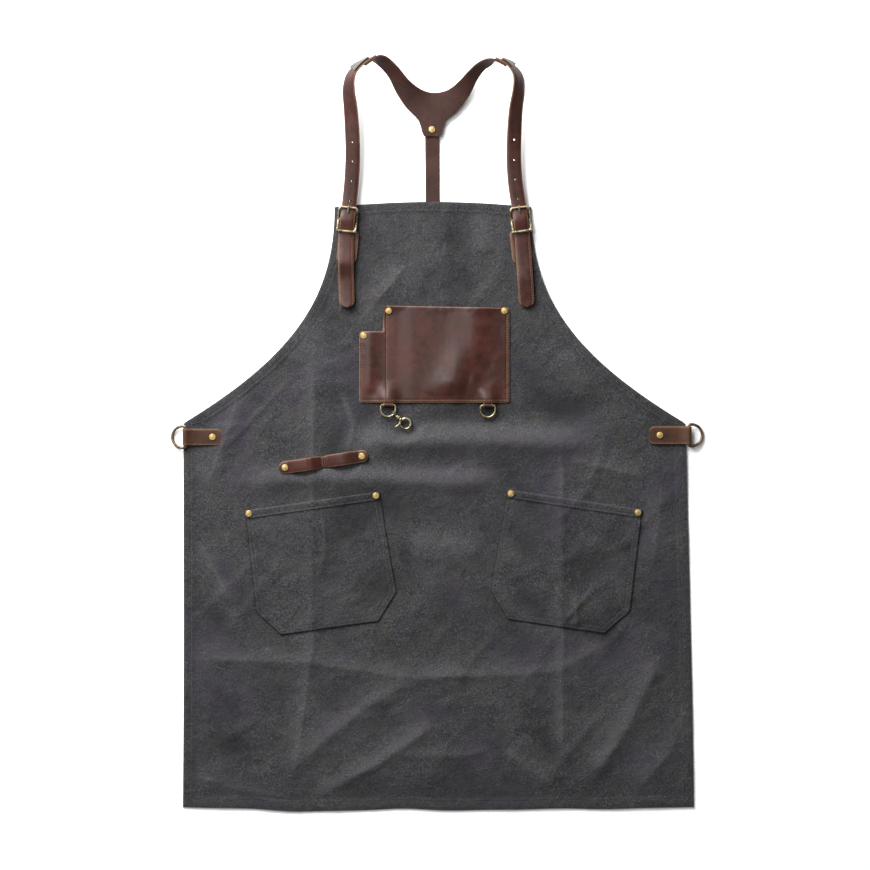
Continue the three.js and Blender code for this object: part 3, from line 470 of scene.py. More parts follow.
class Graph:
    """Adds and links the nodes of one node tree."""

    def __init__(self, tree: Tree) -> None:
        """Keeps the tree."""
        self.tree = tree

    def feed(self, node: Node, inputs: dict) -> None:
        """Sets or links a node's inputs.

        Args:
            node: The node.
            inputs: Input name or number to a value or to another node's output.
        """
        for key, value in inputs.items():
            if isinstance(value, Socket):
                self.tree.links.new(value, node.inputs[key])
            else:
                node.inputs[key].default_value = value

    def node(self, kind: str, inputs: Optional[dict] = None, **settings: object) -> Node:
        """A new node.

        Args:
            kind: Blender's name of the node type.
            inputs: Input name or number to a value or to another node's output.
            settings: The node's own settings.

        Returns:
            The node.
        """
        made = self.tree.nodes.new(kind)
        for key, value in settings.items():
            setattr(made, key, value)
        self.feed(made, inputs or {})
        return made

    def effect(self, group: Tree, inputs: Optional[dict] = None) -> bpy.types.NodeOutputs:
        """Outputs of a shared effect, placed with its own values."""
        return self.node("ShaderNodeGroup", inputs, node_tree=group).outputs

    def math(self, operation: str, *values: object) -> Socket:
        """Result of a Math node on values or sockets."""
        return self.node("ShaderNodeMath", dict(enumerate(values)), operation=operation).outputs[0]

    def shifted(self, operation: str, *values: object) -> Socket:
        """Result of a Vector Math node on values or sockets."""
        return self.node("ShaderNodeVectorMath", dict(enumerate(values)), operation=operation).outputs[0]

    def mix(self, share: object, first: object, second: object) -> Socket:
        """Colour blend of two colours by a share."""
        inputs = {0: share, 6: first, 7: second}
        return self.node("ShaderNodeMix", inputs, data_type="RGBA", blend_type="MIX").outputs[2]

    def span(self, value: Socket, low: float, high: float, to_low: float = 0, to_high: float = 1) -> Socket:
        """A value mapped from one range to another and held inside it."""
        inputs = {"Value": value, "From Min": low, "From Max": high, "To Min": to_low, "To Max": to_high}
        return self.node("ShaderNodeMapRange", inputs).outputs[0]

    def noise(self, where: object, scale: object, detail: float, roughness: float) -> Socket:
        """Factor of a noise texture."""
        inputs = {"Vector": where, "Scale": scale, "Detail": detail, "Roughness": roughness}
        return self.node("ShaderNodeTexNoise", inputs).outputs["Fac"]

    def bump(self, height: Socket, strength: float, distance: float, **below: Socket) -> Socket:
        """Normal of a Bump node, on top of the Normal of another if one is given."""
        inputs = {"Height": height, "Strength": strength, "Distance": distance, **below}
        return self.node("ShaderNodeBump", inputs).outputs[0]

    def place(self) -> Socket:
        """The surface's own coordinates, in metres."""
        return self.node("ShaderNodeTexCoord").outputs["Object"]

    def value_at(self, name: str) -> Socket:
        """A named value of the mesh."""
        return self.node("ShaderNodeAttribute", attribute_name=name).outputs["Fac"]


def new_group(
    name: str, given: str, usual: float, outputs: Sequence[str]
) -> tuple[Graph, Socket, Node]:
    """An empty shader node group with float sockets.

    Args:
        name: Name of the group.
        given: Name of its input.
        usual: The input's usual value.
        outputs: Output names.

    Returns:
        The group's graph, its input's socket and its output node.
    """
    tree = bpy.data.node_groups.new(name, "ShaderNodeTree")
    tree.interface.new_socket(given, in_out="INPUT", socket_type="NodeSocketFloat").default_value = usual
    for key in outputs:
        tree.interface.new_socket(key, in_out="OUTPUT", socket_type="NodeSocketFloat")
    graph = Graph(tree)
    source = graph.node("NodeGroupInput")
    return graph, source.outputs[given], graph.node("NodeGroupOutput")


class Effects:
    """Shader node groups that several finishes share."""

    def __init__(self) -> None:
        """Builds every group once."""
        self.weave = self._weave()
        self.clouds = self._clouds()
        self.grain = self._grain()
        # Mask of pale wear on creases and hems; on fold crests it also carries a painted highlight.
        self.wear = self._mask("crease_wear_and_crest_highlight", "wear")
        self.cut = self._mask("cut_edge", "edge")
        # Painted shade: a mask that darkens the canvas where the mesh value shade is high, in the dips of
        # the cloth and along the pocket edges.
        self.painted_shade = self._mask("painted_dip_shade", "shade")
        self.scuffs = self._scuffs()

    @staticmethod
    def _weave() -> Tree:
        """Plain weave of thick and thin yarns: its height, and a heathered tone.

        Returns:
            The group.
        """
        graph, yarns, result = new_group("canvas_weave", "Yarns per metre", 900.0, ["Height", "Tone"])
        where = graph.place()
        bend = graph.node("ShaderNodeTexNoise", {"Vector": where, "Scale": 260.0, "Detail": 1.0})
        shift = graph.shifted("MULTIPLY", bend.outputs["Color"], (0.0011, 0.0011, 0.0))
        parts = graph.node("ShaderNodeSeparateXYZ", {0: graph.shifted("ADD", where, shift)})
        waves = graph.math("MULTIPLY", yarns, math.pi)
        warp = graph.math("SINE", graph.math("MULTIPLY", parts.outputs["X"], waves))
        weft = graph.math("SINE", graph.math("MULTIPLY", parts.outputs["Y"], waves))
        height = graph.math("MULTIPLY_ADD", graph.math("MULTIPLY", warp, weft), 0.5, 0.5)
        fleck = graph.noise(where, 520.0, 2.0, 0.7)
        tone = graph.math("MULTIPLY", fleck, 0.4)
        for stretch in ((1.0, 0.4, 1.0), (0.4, 1.0, 1.0)):
            slub = graph.node("ShaderNodeMapping", {"Vector": where, "Scale": stretch})
            tone = graph.math("MULTIPLY_ADD", graph.noise(slub.outputs[0], 760.0, 1.0, 0.5), 0.3, tone)
        graph.feed(result, {"Height": height, "Tone": graph.span(tone, 0.4, 0.6)})
        return graph.tree

    @staticmethod
    def _clouds() -> Tree:
        """Soft blotches at a chosen size.

        Returns:
            The group.
        """
        graph, scale, result = new_group("clouds", "Scale", 20.0, ["Tone"])
        tone = graph.noise(graph.place(), scale, 4.0, 0.6)
        graph.feed(result, {"Tone": graph.span(tone, 0.3, 0.7)})
        return graph.tree

    @staticmethod
    def _grain() -> Tree:
        """Leather grain: fine cells with pores, and a tone that follows them.

        Returns:
            The group.
        """
        graph, scale, result = new_group("leather_grain", "Cells per metre", 900.0, ["Height", "Tone"])
        where = graph.place()
        cells = graph.node("ShaderNodeTexVoronoi", {"Vector": where, "Scale": scale}, feature="SMOOTH_F1")
        fine = graph.noise(where, graph.math("MULTIPLY", scale, 0.35), 4.0, 0.65)
        pores = graph.math("MULTIPLY", fine, 0.6)
        height = graph.math("MULTIPLY_ADD", cells.outputs["Distance"], 0.55, pores)
        graph.feed(result, {"Height": height, "Tone": graph.span(fine, 0.3, 0.7)})
        return graph.tree

    @staticmethod
    def _scuffs() -> Tree:
        """Thin wandering scratches in a few patches.

        Returns:
            The group.
        """
        graph, scale, result = new_group("scuffs", "Scale", 42.0, ["Mask", "Height"])
        where = graph.place()
        wander = graph.noise(where, scale, 3.0, 0.6)
        away = graph.math("ABSOLUTE", graph.math("SUBTRACT", wander, 0.5))
        line = graph.span(away, 0.0, 0.013, 1.0, 0.0)
        patch = graph.span(graph.noise(where, 13.0, 3.0, 0.6), 0.5, 0.68)
        mask = graph.math("MULTIPLY", line, patch)
        graph.feed(result, {"Mask": mask, "Height": graph.span(away, 0.0, 0.09, 1.0, 0.0)})
        return graph.tree

    @staticmethod
    def _mask(name: str, value: str) -> Tree:
        """A mesh value broken up by noise.

        Args:
            name: Name of the group.
            value: Name of the mesh value.

        Returns:
            The group, with the output Mask.
        """
        graph, amount, result = new_group(name, "Break-up", 0.5, ["Mask"])
        rough = graph.span(graph.noise(graph.place(), 240.0, 3.0, 0.7), 0.3, 0.7)
        broken = graph.math("MULTIPLY", graph.math("SUBTRACT", 1.0, rough), amount)
        mask = graph.math("MULTIPLY", graph.value_at(value), graph.math("SUBTRACT", 1.0, broken))
        graph.feed(result, {"Mask": mask})
        return graph.tree


def paint(colour: Colour) -> tuple[float, float, float, float]:
    """An sRGB colour, 0 to 255, as a shader colour."""
    shares = (v / 255 for v in colour)
    linear = [c / 12.92 if c <= 0.04045 else ((c + 0.055) / 1.055) ** 2.4 for c in shares]
    return (*linear, 1.0)


class Finish:
    """Base of the finishes: makes the material from the shader inputs of a finish."""

    name: str

    def look(self, graph: Graph, effects: Effects) -> dict[str, object]:
        """The Principled shader's inputs, by name, as values or sockets."""
        raise NotImplementedError

    def build(self, effects: Effects) -> Material:
        """Makes the material.

        Args:
            effects: The shared node groups.

        Returns:
            The material.
        """
        material = bpy.data.materials.new(self.name)
        material.use_nodes = True
        graph = Graph(material.node_tree)
        graph.feed(material.node_tree.nodes["Principled BSDF"], self.look(graph, effects))
        return material


@dataclass(frozen=True)
class CanvasFinish(Finish):
    """Washed and waxed canvas."""

    name: str = "charcoal_canvas"
    dark: Colour = (26, 26, 28)
    light: Colour = (66, 65, 67)
    warm: Colour = (49, 47, 42)
    plum: Colour = (44, 41, 51)
    worn: Colour = (86, 84, 86)
    gloss: float = 0.12

    def look(self, graph: Graph, effects: Effects) -> dict[str, object]:
        """Woven tones under broad blotches, painted shade in the dips and along the pocket edges, pale worn
        creases and hems, fold crests lightened by wear and a painted highlight, and scuffs.

        Args:
            graph: Graph of the material.
            effects: The shared node groups.

        Returns:
            The shader's inputs.
        """
        weave = graph.effect(effects.weave)
        broad = graph.effect(effects.clouds, {"Scale": 9.0})["Tone"]
        patch = graph.effect(effects.clouds, {"Scale": 75.0})["Tone"]
        wear = graph.effect(effects.wear, {"Break-up": 0.7})["Mask"]
        mottle = graph.effect(effects.clouds, {"Scale": 27.0})["Tone"]
        fleck = graph.math("POWER", weave["Tone"], 2.0)
        tone = graph.math("MULTIPLY_ADD", fleck, 0.8, graph.math("MULTIPLY_ADD", patch, 0.22, 0.05))
        tone = graph.math("MULTIPLY_ADD", mottle, 0.14, graph.math("MULTIPLY_ADD", broad, 0.06, tone))
        colour = graph.mix(tone, paint(self.dark), paint(self.light))
        colour = graph.mix(graph.span(patch, 0.5, 0.8, 0.0, 0.5), colour, paint(self.warm))
        colour = graph.mix(graph.span(broad, 0.45, 0.9, 0.0, 0.5), colour, paint(self.plum))
        # Painted shade: the canvas's dark colour laid into the dips of the cloth and along the pocket edges,
        # where shade falls.
        painted_shade = graph.effect(effects.painted_shade, {"Break-up": 0.0})["Mask"]
        scuff = graph.effect(effects.scuffs)
        colour = graph.mix(graph.math("MULTIPLY", painted_shade, 0.68), colour, paint(self.dark))
        # Pale worn colour on creases and hems; on fold crests it is partly a painted highlight.
        colour = graph.mix(graph.math("MULTIPLY", wear, 0.6), colour, paint(self.worn))
        colour = graph.mix(graph.math("MULTIPLY", scuff["Mask"], 0.5), colour, paint(self.worn))
        rough = graph.span(patch, 0.0, 1.0, 0.97, 0.8)
        fibre = graph.math("MULTIPLY_ADD", weave["Tone"], 0.8, weave["Height"])
        crumple = graph.bump(scuff["Height"], 0.5, 0.0007)
        normal = graph.bump(fibre, 0.6, 0.0005, Normal=crumple)
        look = {"Base Color": colour, "Roughness": rough, "Normal": normal}
        return {**look, "Specular IOR Level": self.gloss}


@dataclass(frozen=True)
class LeatherFinish(Finish):
    """Oiled leather with cut edges."""

    name: str = "oiled_leather"
    deep: Colour = (28, 12, 8)
    pale: Colour = (59, 28, 20)
    red: Colour = (74, 27, 20)
    edge: Colour = (120, 90, 67)
    edge_share: float = 0.8
    roughness: float = 0.4
    bump: float = 0.14
    cells: float = 800.0
    gloss: float = 0.29

    def look(self, graph: Graph, effects: Effects) -> dict[str, object]:
        """Blotched tones with grain, and paler cut edges.

        Args:
            graph: Graph of the material.
            effects: The shared node groups.

        Returns:
            The shader's inputs.
        """
        grain = graph.effect(effects.grain, {"Cells per metre": self.cells})
        broad = graph.effect(effects.clouds, {"Scale": 26.0})["Tone"]
        patch = graph.effect(effects.clouds, {"Scale": 90.0})["Tone"]
        cut = graph.effect(effects.cut, {"Break-up": 0.5})["Mask"]
        tone = graph.math("MULTIPLY_ADD", patch, 0.3, graph.math("MULTIPLY", broad, 0.5))
        tone = graph.math("MULTIPLY_ADD", grain["Tone"], 0.2, tone)
        colour = graph.mix(tone, paint(self.deep), paint(self.pale))
        colour = graph.mix(graph.span(broad, 0.5, 1.0, 0.0, 0.2), colour, paint(self.red))
        colour = graph.mix(graph.math("MULTIPLY", cut, self.edge_share), colour, paint(self.edge))
        rough = graph.span(patch, 0.0, 1.0, self.roughness - 0.06, self.roughness + 0.1)
        rough = graph.math("MULTIPLY_ADD", cut, 0.35, rough)
        normal = graph.bump(grain["Height"], self.bump, 0.0005)
        look = {"Base Color": colour, "Roughness": rough, "Normal": normal}
        return {**look, "Specular IOR Level": self.gloss}


@dataclass(frozen=True)
class MetalFinish(Finish):
    """Brass, bright or antique."""

    name: str
    bright: Colour
    dull: Colour
    roughness: float
    patina: float
    metal: float

    def look(self, graph: Graph, effects: Effects) -> dict[str, object]:
        """Metal with spots of patina.

        Args:
            graph: Graph of the material.
            effects: The shared node groups.

        Returns:
            The shader's inputs.
        """
        spots = graph.effect(effects.clouds, {"Scale": 320.0})["Tone"]
        share = graph.span(spots, 0.35, 0.8, 0.0, self.patina)
        colour = graph.mix(share, paint(self.bright), paint(self.dull))
        rough = graph.span(spots, 0.0, 1.0, self.roughness, self.roughness + 0.2)
        normal = graph.bump(graph.noise(graph.place(), 1500.0, 2.0, 0.6), 0.08, 0.0002)
        return {"Base Color": colour, "Roughness": rough, "Normal": normal, "Metallic": self.metal}


@dataclass(frozen=True)
class ThreadFinish(Finish):
    """Sewing thread with a slight twist."""

    name: str
    colour: Colour
    shade: Colour
    roughness: float = 0.7

    def look(self, graph: Graph, effects: Effects) -> dict[str, object]:
        """Thread tones with a twist.

        Args:
            graph: Graph of the material.
            effects: The shared node groups.

        Returns:
            The shader's inputs.
        """
        spots = graph.effect(effects.clouds, {"Scale": 500.0})["Tone"]
        colour = graph.mix(spots, paint(self.shade), paint(self.colour))
        wave = {"Vector": graph.place(), "Scale": 900.0}
        twist = graph.node("ShaderNodeTexWave", wave, bands_direction="DIAGONAL")
        normal = graph.bump(twist.outputs["Fac"], 0.3, 0.0002)
        return {"Base Color": colour, "Roughness": self.roughness, "Normal": normal}


class Dress(Enum):
    """Finishes by name, each with the slot of the record that it shows."""

    CANVAS = (Slot.CANVAS, CanvasFinish())
    LEATHER = (Slot.LEATHER, LeatherFinish())
    FLESH = (
        Slot.FLESH,
        LeatherFinish(
            *("flesh_side_leather", (30, 17, 14), (58, 34, 28), (62, 30, 24), (84, 56, 44)),
            *(0.5, 0.55, 0.45, 500.0, 0.18),
        ),
    )
    # Shoulder patch leather: its pale grey colour is a painted glare, a highlight put into the colour.
    PATCH = (
        Slot.LEATHER,
        LeatherFinish(
            *("patch_leather_painted_glare", (44, 41, 36), (76, 72, 64), (66, 60, 52), (70, 60, 48)),
            *(0.6, 0.5, 0.2, 700.0, 0.3),
        ),
    )
    ANTIQUE = (Slot.ANTIQUE, MetalFinish("antique_brass", (148, 138, 110), (50, 43, 31), 0.4, 0.85, 0.9))
    BRONZE = (Slot.ANTIQUE, MetalFinish("bronze_wire", (112, 95, 74), (32, 26, 19), 0.4, 0.9, 0.8))
    WORN = (
        Slot.LEATHER,
        LeatherFinish(
            *("worn_leather", (32, 19, 12), (70, 44, 31), (66, 34, 22), (112, 90, 68)),
            roughness=0.5,
            gloss=0.16,
        ),
    )
    BRASS = (Slot.BRASS, MetalFinish("bright_brass", (172, 148, 94), (112, 89, 50), 0.45, 0.75, 0.75))
    TAN_THREAD = (Slot.LEATHER, ThreadFinish("tan_thread", (126, 96, 70), (78, 54, 38)))
    GREY_THREAD = (Slot.CANVAS, ThreadFinish("grey_thread", (70, 69, 70), (40, 40, 42)))

    @property
    def slot(self) -> Slot:
        """The slot of the record."""
        return self.value[0]

    @property
    def finish(self) -> Finish:
        """The finish."""
        return self.value[1]


def linked(name: str, data: bpy.types.ID) -> bpy.types.Object:
    """A new object in the scene.

    Args:
        name: Its name.
        data: Its mesh, light or camera.

    Returns:
        The object.
    """
    made = bpy.data.objects.new(name, data)
    bpy.context.scene.collection.objects.link(made)
    return made


@dataclass
class Workshop:
    """Finished materials, and the way a shape becomes a piece of the scene."""

    materials: dict[Dress, Material] = field(default_factory=dict)

    def stock(self) -> None:
        """Makes every finish."""
        effects = Effects()
        self.materials = {dress: dress.finish.build(effects) for dress in Dress}

    def piece(
        self,
        name: str,
        shape: Shape,
        dress: Dress,
        stands_for: str = "",
        body: Body = Body.APRON,
        sharp: float = 50.0,
    ) -> bpy.types.Object:
        """Makes a shape into an object that rides on a body.

        Args:
            name: Name of the object.
            shape: Its mesh, in millimetres.
            dress: The dress whose finish it gets.
            stands_for: Node of the part that it replaces, if any.
            body: Body that it moves with.
            sharp: Edges that turn more than so many degrees are shaded sharp.

        Returns:
            The object.
        """
        mesh = bpy.data.meshes.new(name)
        mesh.from_pydata((shape.vertices * MM).tolist(), [], shape.faces)
        mesh.shade_smooth()
        mesh.set_sharp_from_angle(angle=math.radians(sharp))
        for key, values in shape.values.items():
            attribute = mesh.attributes.new(key, "FLOAT", "POINT")
            attribute.data.foreach_set("value", np.ascontiguousarray(values, dtype=np.float32))
        mesh.materials.append(self.materials[dress])
        made = linked(name, mesh)
        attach(made, body.value)
        if stands_for:
            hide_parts(stands_for)
        log.info("%s: %d faces, rides on %s", name, len(mesh.polygons), body.value)
        return made


@dataclass
class Assembly:
    """Base of the sub-assemblies: keeps the workshop that makes their pieces."""

    shop: Workshop


def node_box(node: str) -> tuple[Array, Array]:
    """Lowest and highest corners of a node of the part, in millimetres."""
    low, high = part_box(node)
    return np.array(low) / MM, np.array(high) / MM


def joint_place(name: str) -> Array:
    """Place of a joint of the part, in millimetres."""
    joint = next(j for j in frame["joints"] if j["name"] == name)
    return np.array(joint["pos_m"]) / MM


class Fold(NamedTuple):
    """A ridge (positive rise) or dip of the cloth along a plan line."""

    points: tuple[Pair, ...]
    rise: float
    spread: float
    form: FoldForm = SOFT
    taper: float = 0.18

    def height(self, x: Array, y: Array) -> Array:
        """Height that the fold adds at plan points.

        Args:
            x: Plan places.
            y: Plan places.

        Returns:
            The heights.
        """
        line = np.array(self.points, float)
        lengths = np.linalg.norm(np.diff(line, axis=0), axis=1)
        total = lengths.sum()
        nearest = np.full(np.shape(x), np.inf)
        share = np.zeros(np.shape(x))
        walked = 0.0
        for start, end, length in zip(line[:-1], line[1:], lengths):
            run = (end - start) / length
            along = np.clip((x - start[0]) * run[0] + (y - start[1]) * run[1], 0.0, length)
            away = np.hypot(x - start[0] - along * run[0], y - start[1] - along * run[1])
            share = np.where(away < nearest, (walked + along) / total, share)
            nearest = np.minimum(nearest, away)
            walked += length
        ends = smooth(share / self.taper) * smooth((1.0 - share) / self.taper)
        reach = nearest / self.spread
        if self.form is CREASE:
            profile = np.exp(0.25 - np.sqrt(reach**2 + 0.0625))
        else:
            profile = bell(nearest, self.spread)
        return self.rise * ends * profile

    def rubbed(self, spread: float) -> "Fold":
        """The worn line along the fold's ridge, as a soft fold of height 1."""
        return self._replace(rise=1.0, spread=spread, form=SOFT)


CANVAS_FOLDS = (
    Fold(((-166, 130), (-167, -287), (-195, -484)), 2.6, 9, CREASE, 0.1),
    Fold(((166, -2), (166, -440)), 2.4, 9, CREASE, 0.1),
    Fold(((-338, -297), (-170, -303), (-36, -323), (44, -321)), 2.4, 11, CREASE, 0.08),
    Fold(((-20, -322), (60, -320), (164, -314), (232, -272)), 2.4, 11, CREASE, 0.12),
    Fold(((-125, -12), (40, -7), (225, -14)), 7.4, 18),
    Fold(((-275, -64), (-150, -58), (40, -64), (98, -56)), 5.4, 15),
    Fold(((105, 40), (228, 36)), -1.4, 14),
    Fold(((-165, 46), (-100, 46)), -1.2, 13),
    Fold(((-178, -492), (-82, -440), (6, -380)), 4.6, 12, CREASE),
    Fold(((-200, -452), (-146, -402), (-92, -362), (-30, -326)), 3.6, 13, CREASE),
    Fold(((-312, -352), (-285, -407), (-222, -448)), -1.6, 16),
    Fold(((300, -290), (255, -385), (202, -464)), 4.6, 16, CREASE),
    Fold(((336, -350), (310, -420), (262, -478)), 2.6, 13, CREASE),
    Fold(((-330, -452), (-270, -470), (-190, -484)), 1.6, 9, CREASE),
    Fold(((-64, -427), (36, -427), (76, -416)), 1.7, 7, CREASE),
    Fold(((-262, 60), (-283, -5), (-312, -80)), 2.2, 12, CREASE),
    Fold(((-236, 62), (-262, -10), (-292, -84)), -1.2, 12),
    Fold(((60, 300), (63, 236)), 2.2, 13),
    Fold(((24, 302), (22, 236)), -1.0, 14),
    Fold(((-110, 145), (-78, 182), (-40, 230)), 1.8, 11, CREASE),
    Fold(((-40, -152), (66, -154)), 2.6, 20),
    Fold(((182, -210), (186, -258)), 1.4, 6, CREASE),
    Fold(((-122, -30), (-112, 12), (-128, 60)), 1.3, 7, CREASE),
    Fold(((90, -420), (160, -470)), 2.0, 13, CREASE),
    Fold(((168, -32), (225, -43), (284, -58)), 2.0, 9, CREASE),
    Fold(((-320, -140), (-270, -230)), 1.8, 16, CREASE),
    Fold(((300, -60), (285, -180)), 1.8, 16, CREASE),
    Fold(((160, 110), (205, 60)), 1.5, 15),
    Fold(((-200, 96), (-160, 150)), 1.5, 15),
)


@dataclass
class Ripples:
    """Seeded gentle unevenness of cloth."""

    seed: int = 11
    size: int = 96

    def __post_init__(self) -> None:
        """Draws the lattice."""
        self.lattice = np.random.default_rng(self.seed).normal(size=(self.size, self.size))

    def height(self, row: Array, column: Array) -> Array:
        """Lattice heights, repeated without end."""
        return self.lattice[row % self.size, column % self.size]

    def at(self, x: Array, y: Array, length: float, turn: float = 0.0, stretch: float = 1.0) -> Array:
        """Smooth random heights of about unit size.

        Args:
            x: Plan places.
            y: Plan places.
            length: Distance between lattice points.
            turn: Direction of the long ripples, in degrees.
            stretch: How much longer the ripples are that way.

        Returns:
            The heights.
        """
        c, s = math.cos(math.radians(turn)), math.sin(math.radians(turn))
        u = (x * c + y * s) / (length * stretch) + 17.3
        v = (y * c - x * s) / length + 31.7
        i, j = np.floor(u).astype(int), np.floor(v).astype(int)
        a, b = smooth(u - i), smooth(v - j)
        low = self.height(i, j) * (1 - a) + self.height(i + 1, j) * a
        high = self.height(i, j + 1) * (1 - a) + self.height(i + 1, j + 1) * a
        return low * (1 - b) + high * b


class Swell(NamedTuple):
    """Ripples of one size: their rise, where they are drawn from, spacing, direction and stretch."""

    rise: float
    shift_x: float
    shift_y: float
    length: float
    turn: float
    stretch: float


CANVAS_SWELLS = (
    Swell(1.05, 0.0, 0.0, 46.0, 35.0, 1.8),
    Swell(0.75, 400.0, 0.0, 21.0, -50.0, 2.2),
    Swell(0.26, 0.0, 700.0, 9.0, 20.0, 1.5),
)
# Distances from the canvas's edges at which its rows and columns lie close together.
HEM_STATIONS = np.array([0.0, 0.6, 1.6, 4.0, 7.0, 9.0, 10.4, 11.8, 13.2, 15.0, 18.0])


@dataclass
class Canvas(Assembly):
    """The canvas: bib, armholes and skirt as one hemmed sheet."""

    hem_y: float = -496.4
    hip_y: float = 15.0
    bib_top: float = 303.0
    hem_half: float = 340.5
    hip_half: float = 334.5
    bib_half: float = 131.0
    arch: float = 7.0
    rest: float = 1.8
    wall: float = 1.4
    hem_band: float = 12.5
    hem_rise: float = 1.1
    fold_gain: float = 1.4
    seam_in: float = 10.4
    sewing: Sewing = Sewing(3.6, 2.7, 0.62)
    rows: int = 262
    columns: int = 262
    ripples: Ripples = field(default_factory=Ripples)

    def __post_init__(self) -> None:
        """Works out the armhole's half widths."""
        t = np.linspace(0.0, 1.0, 200)
        hip, bib = (self.hip_half, self.hip_y), (self.bib_half, self.bib_top)
        corners = (hip, (180.0, 108.0), (self.bib_half, 188.0), bib)
        weights = ((1 - t) ** 3, 3 * t * (1 - t) ** 2, 3 * t**2 * (1 - t), t**3)
        curve = sum(w[:, None] * np.array(c) for w, c in zip(weights, corners))
        self.armhole_y, self.armhole_half = curve[:, 1], curve[:, 0]

    def half(self, y: Array) -> Array:
        """Half width at a height of the outline."""
        skirt = lerp(self.hem_half, self.hip_half, (y - self.hem_y) / (self.hip_y - self.hem_y))
        return np.where(y <= self.hip_y, skirt, np.interp(y, self.armhole_y, self.armhole_half))

    def drift(self, y: Array) -> Array:
        """Sideways place of the middle line."""
        return lerp(1.4, -6.0, smooth((y - self.hem_y) / (self.bib_top - self.hem_y)))

    def sag(self, x: Array) -> Array:
        """How far the hem hangs below its corners."""
        bow = 1.0 - np.clip(x / self.hem_half, -1, 1) ** 2
        wave = 0.9 * np.sin(x / 31.0) + 0.6 * np.sin(x / 17.0 + 1.0)
        return 3.5 * bow + 3.0 * bell(x + 185.0, 60.0) + wave * bow

    def crown(self, x: Array) -> Array:
        """Rise of the bib's top edge."""
        return self.arch * (1.0 - np.clip((x + 6.0) / self.bib_half, -1, 1) ** 2)

    def inset(self, x: Array, y: Array) -> Array:
        """Distance of plan points from the outline.

        Args:
            x: Plan places.
            y: Plan places.

        Returns:
            The distances, 0 outside.
        """
        slope = (self.half(y + 1.0) - self.half(y - 1.0)) / 2.0
        sides = (self.half(y) - np.abs(x - self.drift(y))) / np.sqrt(1.0 + slope**2)
        hem = y - self.hem_y + self.sag(x)
        top = self.bib_top + self.crown(x) - y
        return np.maximum(least(sides, hem, top), 0.0)

    def underside(self, x: Array, y: Array) -> Array:
        """Height of the underside above the floor.

        Args:
            x: Plan places.
            y: Plan places.

        Returns:
            The heights.
        """
        x, y = np.asarray(x, float), np.asarray(y, float)
        z = self.rest * smooth((y - self.hem_y) / 45.0)
        z = z * (1.0 - 0.9 * smooth((np.abs(x) - 285.0) / 50.0) * smooth((-40.0 - y) / 40.0))
        over_strap = 1.0 - smooth((np.abs(x + 6.0) - 13.0) / 26.0)
        z = z + 1.9 * over_strap * smooth((y - 6.0) / 30.0)
        return np.maximum(z + self.relief(x, y), 0.0)

    def relief(self, x: Array, y: Array) -> Array:
        """Folds and ripples, calmer near the hems and under leather.

        Args:
            x: Plan places.
            y: Plan places.

        Returns:
            Heights to add to the cloth.
        """
        relief = self.fold_gain * sum(fold.height(x, y) for fold in CANVAS_FOLDS)
        for rise, shift_x, shift_y, *form in CANVAS_SWELLS:
            relief = relief + rise * self.ripples.at(x + shift_x, y + shift_y, *form)
        wander = np.abs(self.ripples.at(x + 200.0, y, 54.0, 48.0, 2.2))
        crumple = np.maximum(0.0, 1.0 - 2.4 * wander) * smooth(0.5 + self.ripples.at(x, y, 120.0))
        relief = relief + 1.6 * crumple
        beside = least(x + 108.0, 100.0 - x, y - 38.0, 174.0 - y)
        relief = relief * (1.0 - 0.92 * smooth((beside + 14.0) / 22.0))
        strap = np.minimum(22.0 - np.abs(np.abs(x + 2.0) - 118.0), y - 158.0)
        relief = relief * (1.0 - 0.8 * smooth((strap + 10.0) / 16.0))
        relief = relief * (1.0 - 0.85 * smooth((34.0 - np.hypot(x + 46.0, y - 20.0)) / 16.0))
        return relief * lerp(0.25, 1.0, smooth(self.inset(x, y) / 60.0))

    def top(self, x: Array, y: Array) -> Array:
        """Height of the front face.

        Args:
            x: Plan places.
            y: Plan places.

        Returns:
            The heights.
        """
        x, y = np.asarray(x, float), np.asarray(y, float)
        inset = self.inset(x, y)
        hem = self.hem_rise * (1.0 - smooth((inset - self.hem_band) / 1.8))
        sewn = bell(inset - self.seam_in, 1.6)
        pucker = 0.22 * self.ripples.at(x, y, 7.0) * bell(inset - 7.0, 8.0)
        rounded = 0.5 * (1.0 - smooth(inset / 1.6))
        return self.underside(x, y) + self.wall + hem - 0.6 * sewn + pucker - rounded

    @staticmethod
    def spaced(length: float, count: int) -> Array:
        """Shares along a side, close together at the hems and even between them.

        Args:
            length: Length of the side.
            count: Number of shares.

        Returns:
            The shares, from 0 to 1.
        """
        near = HEM_STATIONS / length
        inner = np.linspace(near[-1], 1.0 - near[-1], count - 2 * len(near) + 3)
        return np.concatenate([near[:-1], inner, 1.0 - near[:-1][::-1]])

    def grid(self) -> tuple[Array, Array]:
        """Plan places of the sheet's grid, rows from hem to bib and columns from left to right.

        Returns:
            Places along X and Y.
        """
        levels = lerp(self.hem_y, self.bib_top, self.spaced(self.bib_top - self.hem_y, self.rows))
        x, y = [], []
        for level in levels:
            half = float(self.half(np.array(level)))
            aside = 2.0 * self.spaced(2.0 * half, self.columns) - 1.0
            across = self.drift(level) + aside * half
            lift = self.crown(across) * smooth((level - 230.0) / (self.bib_top - 230.0))
            drop = self.sag(across) * smooth((self.hem_y + 90.0 - level) / 90.0)
            x.append(across)
            y.append(level + lift - drop)
        return np.array(x), np.array(y)

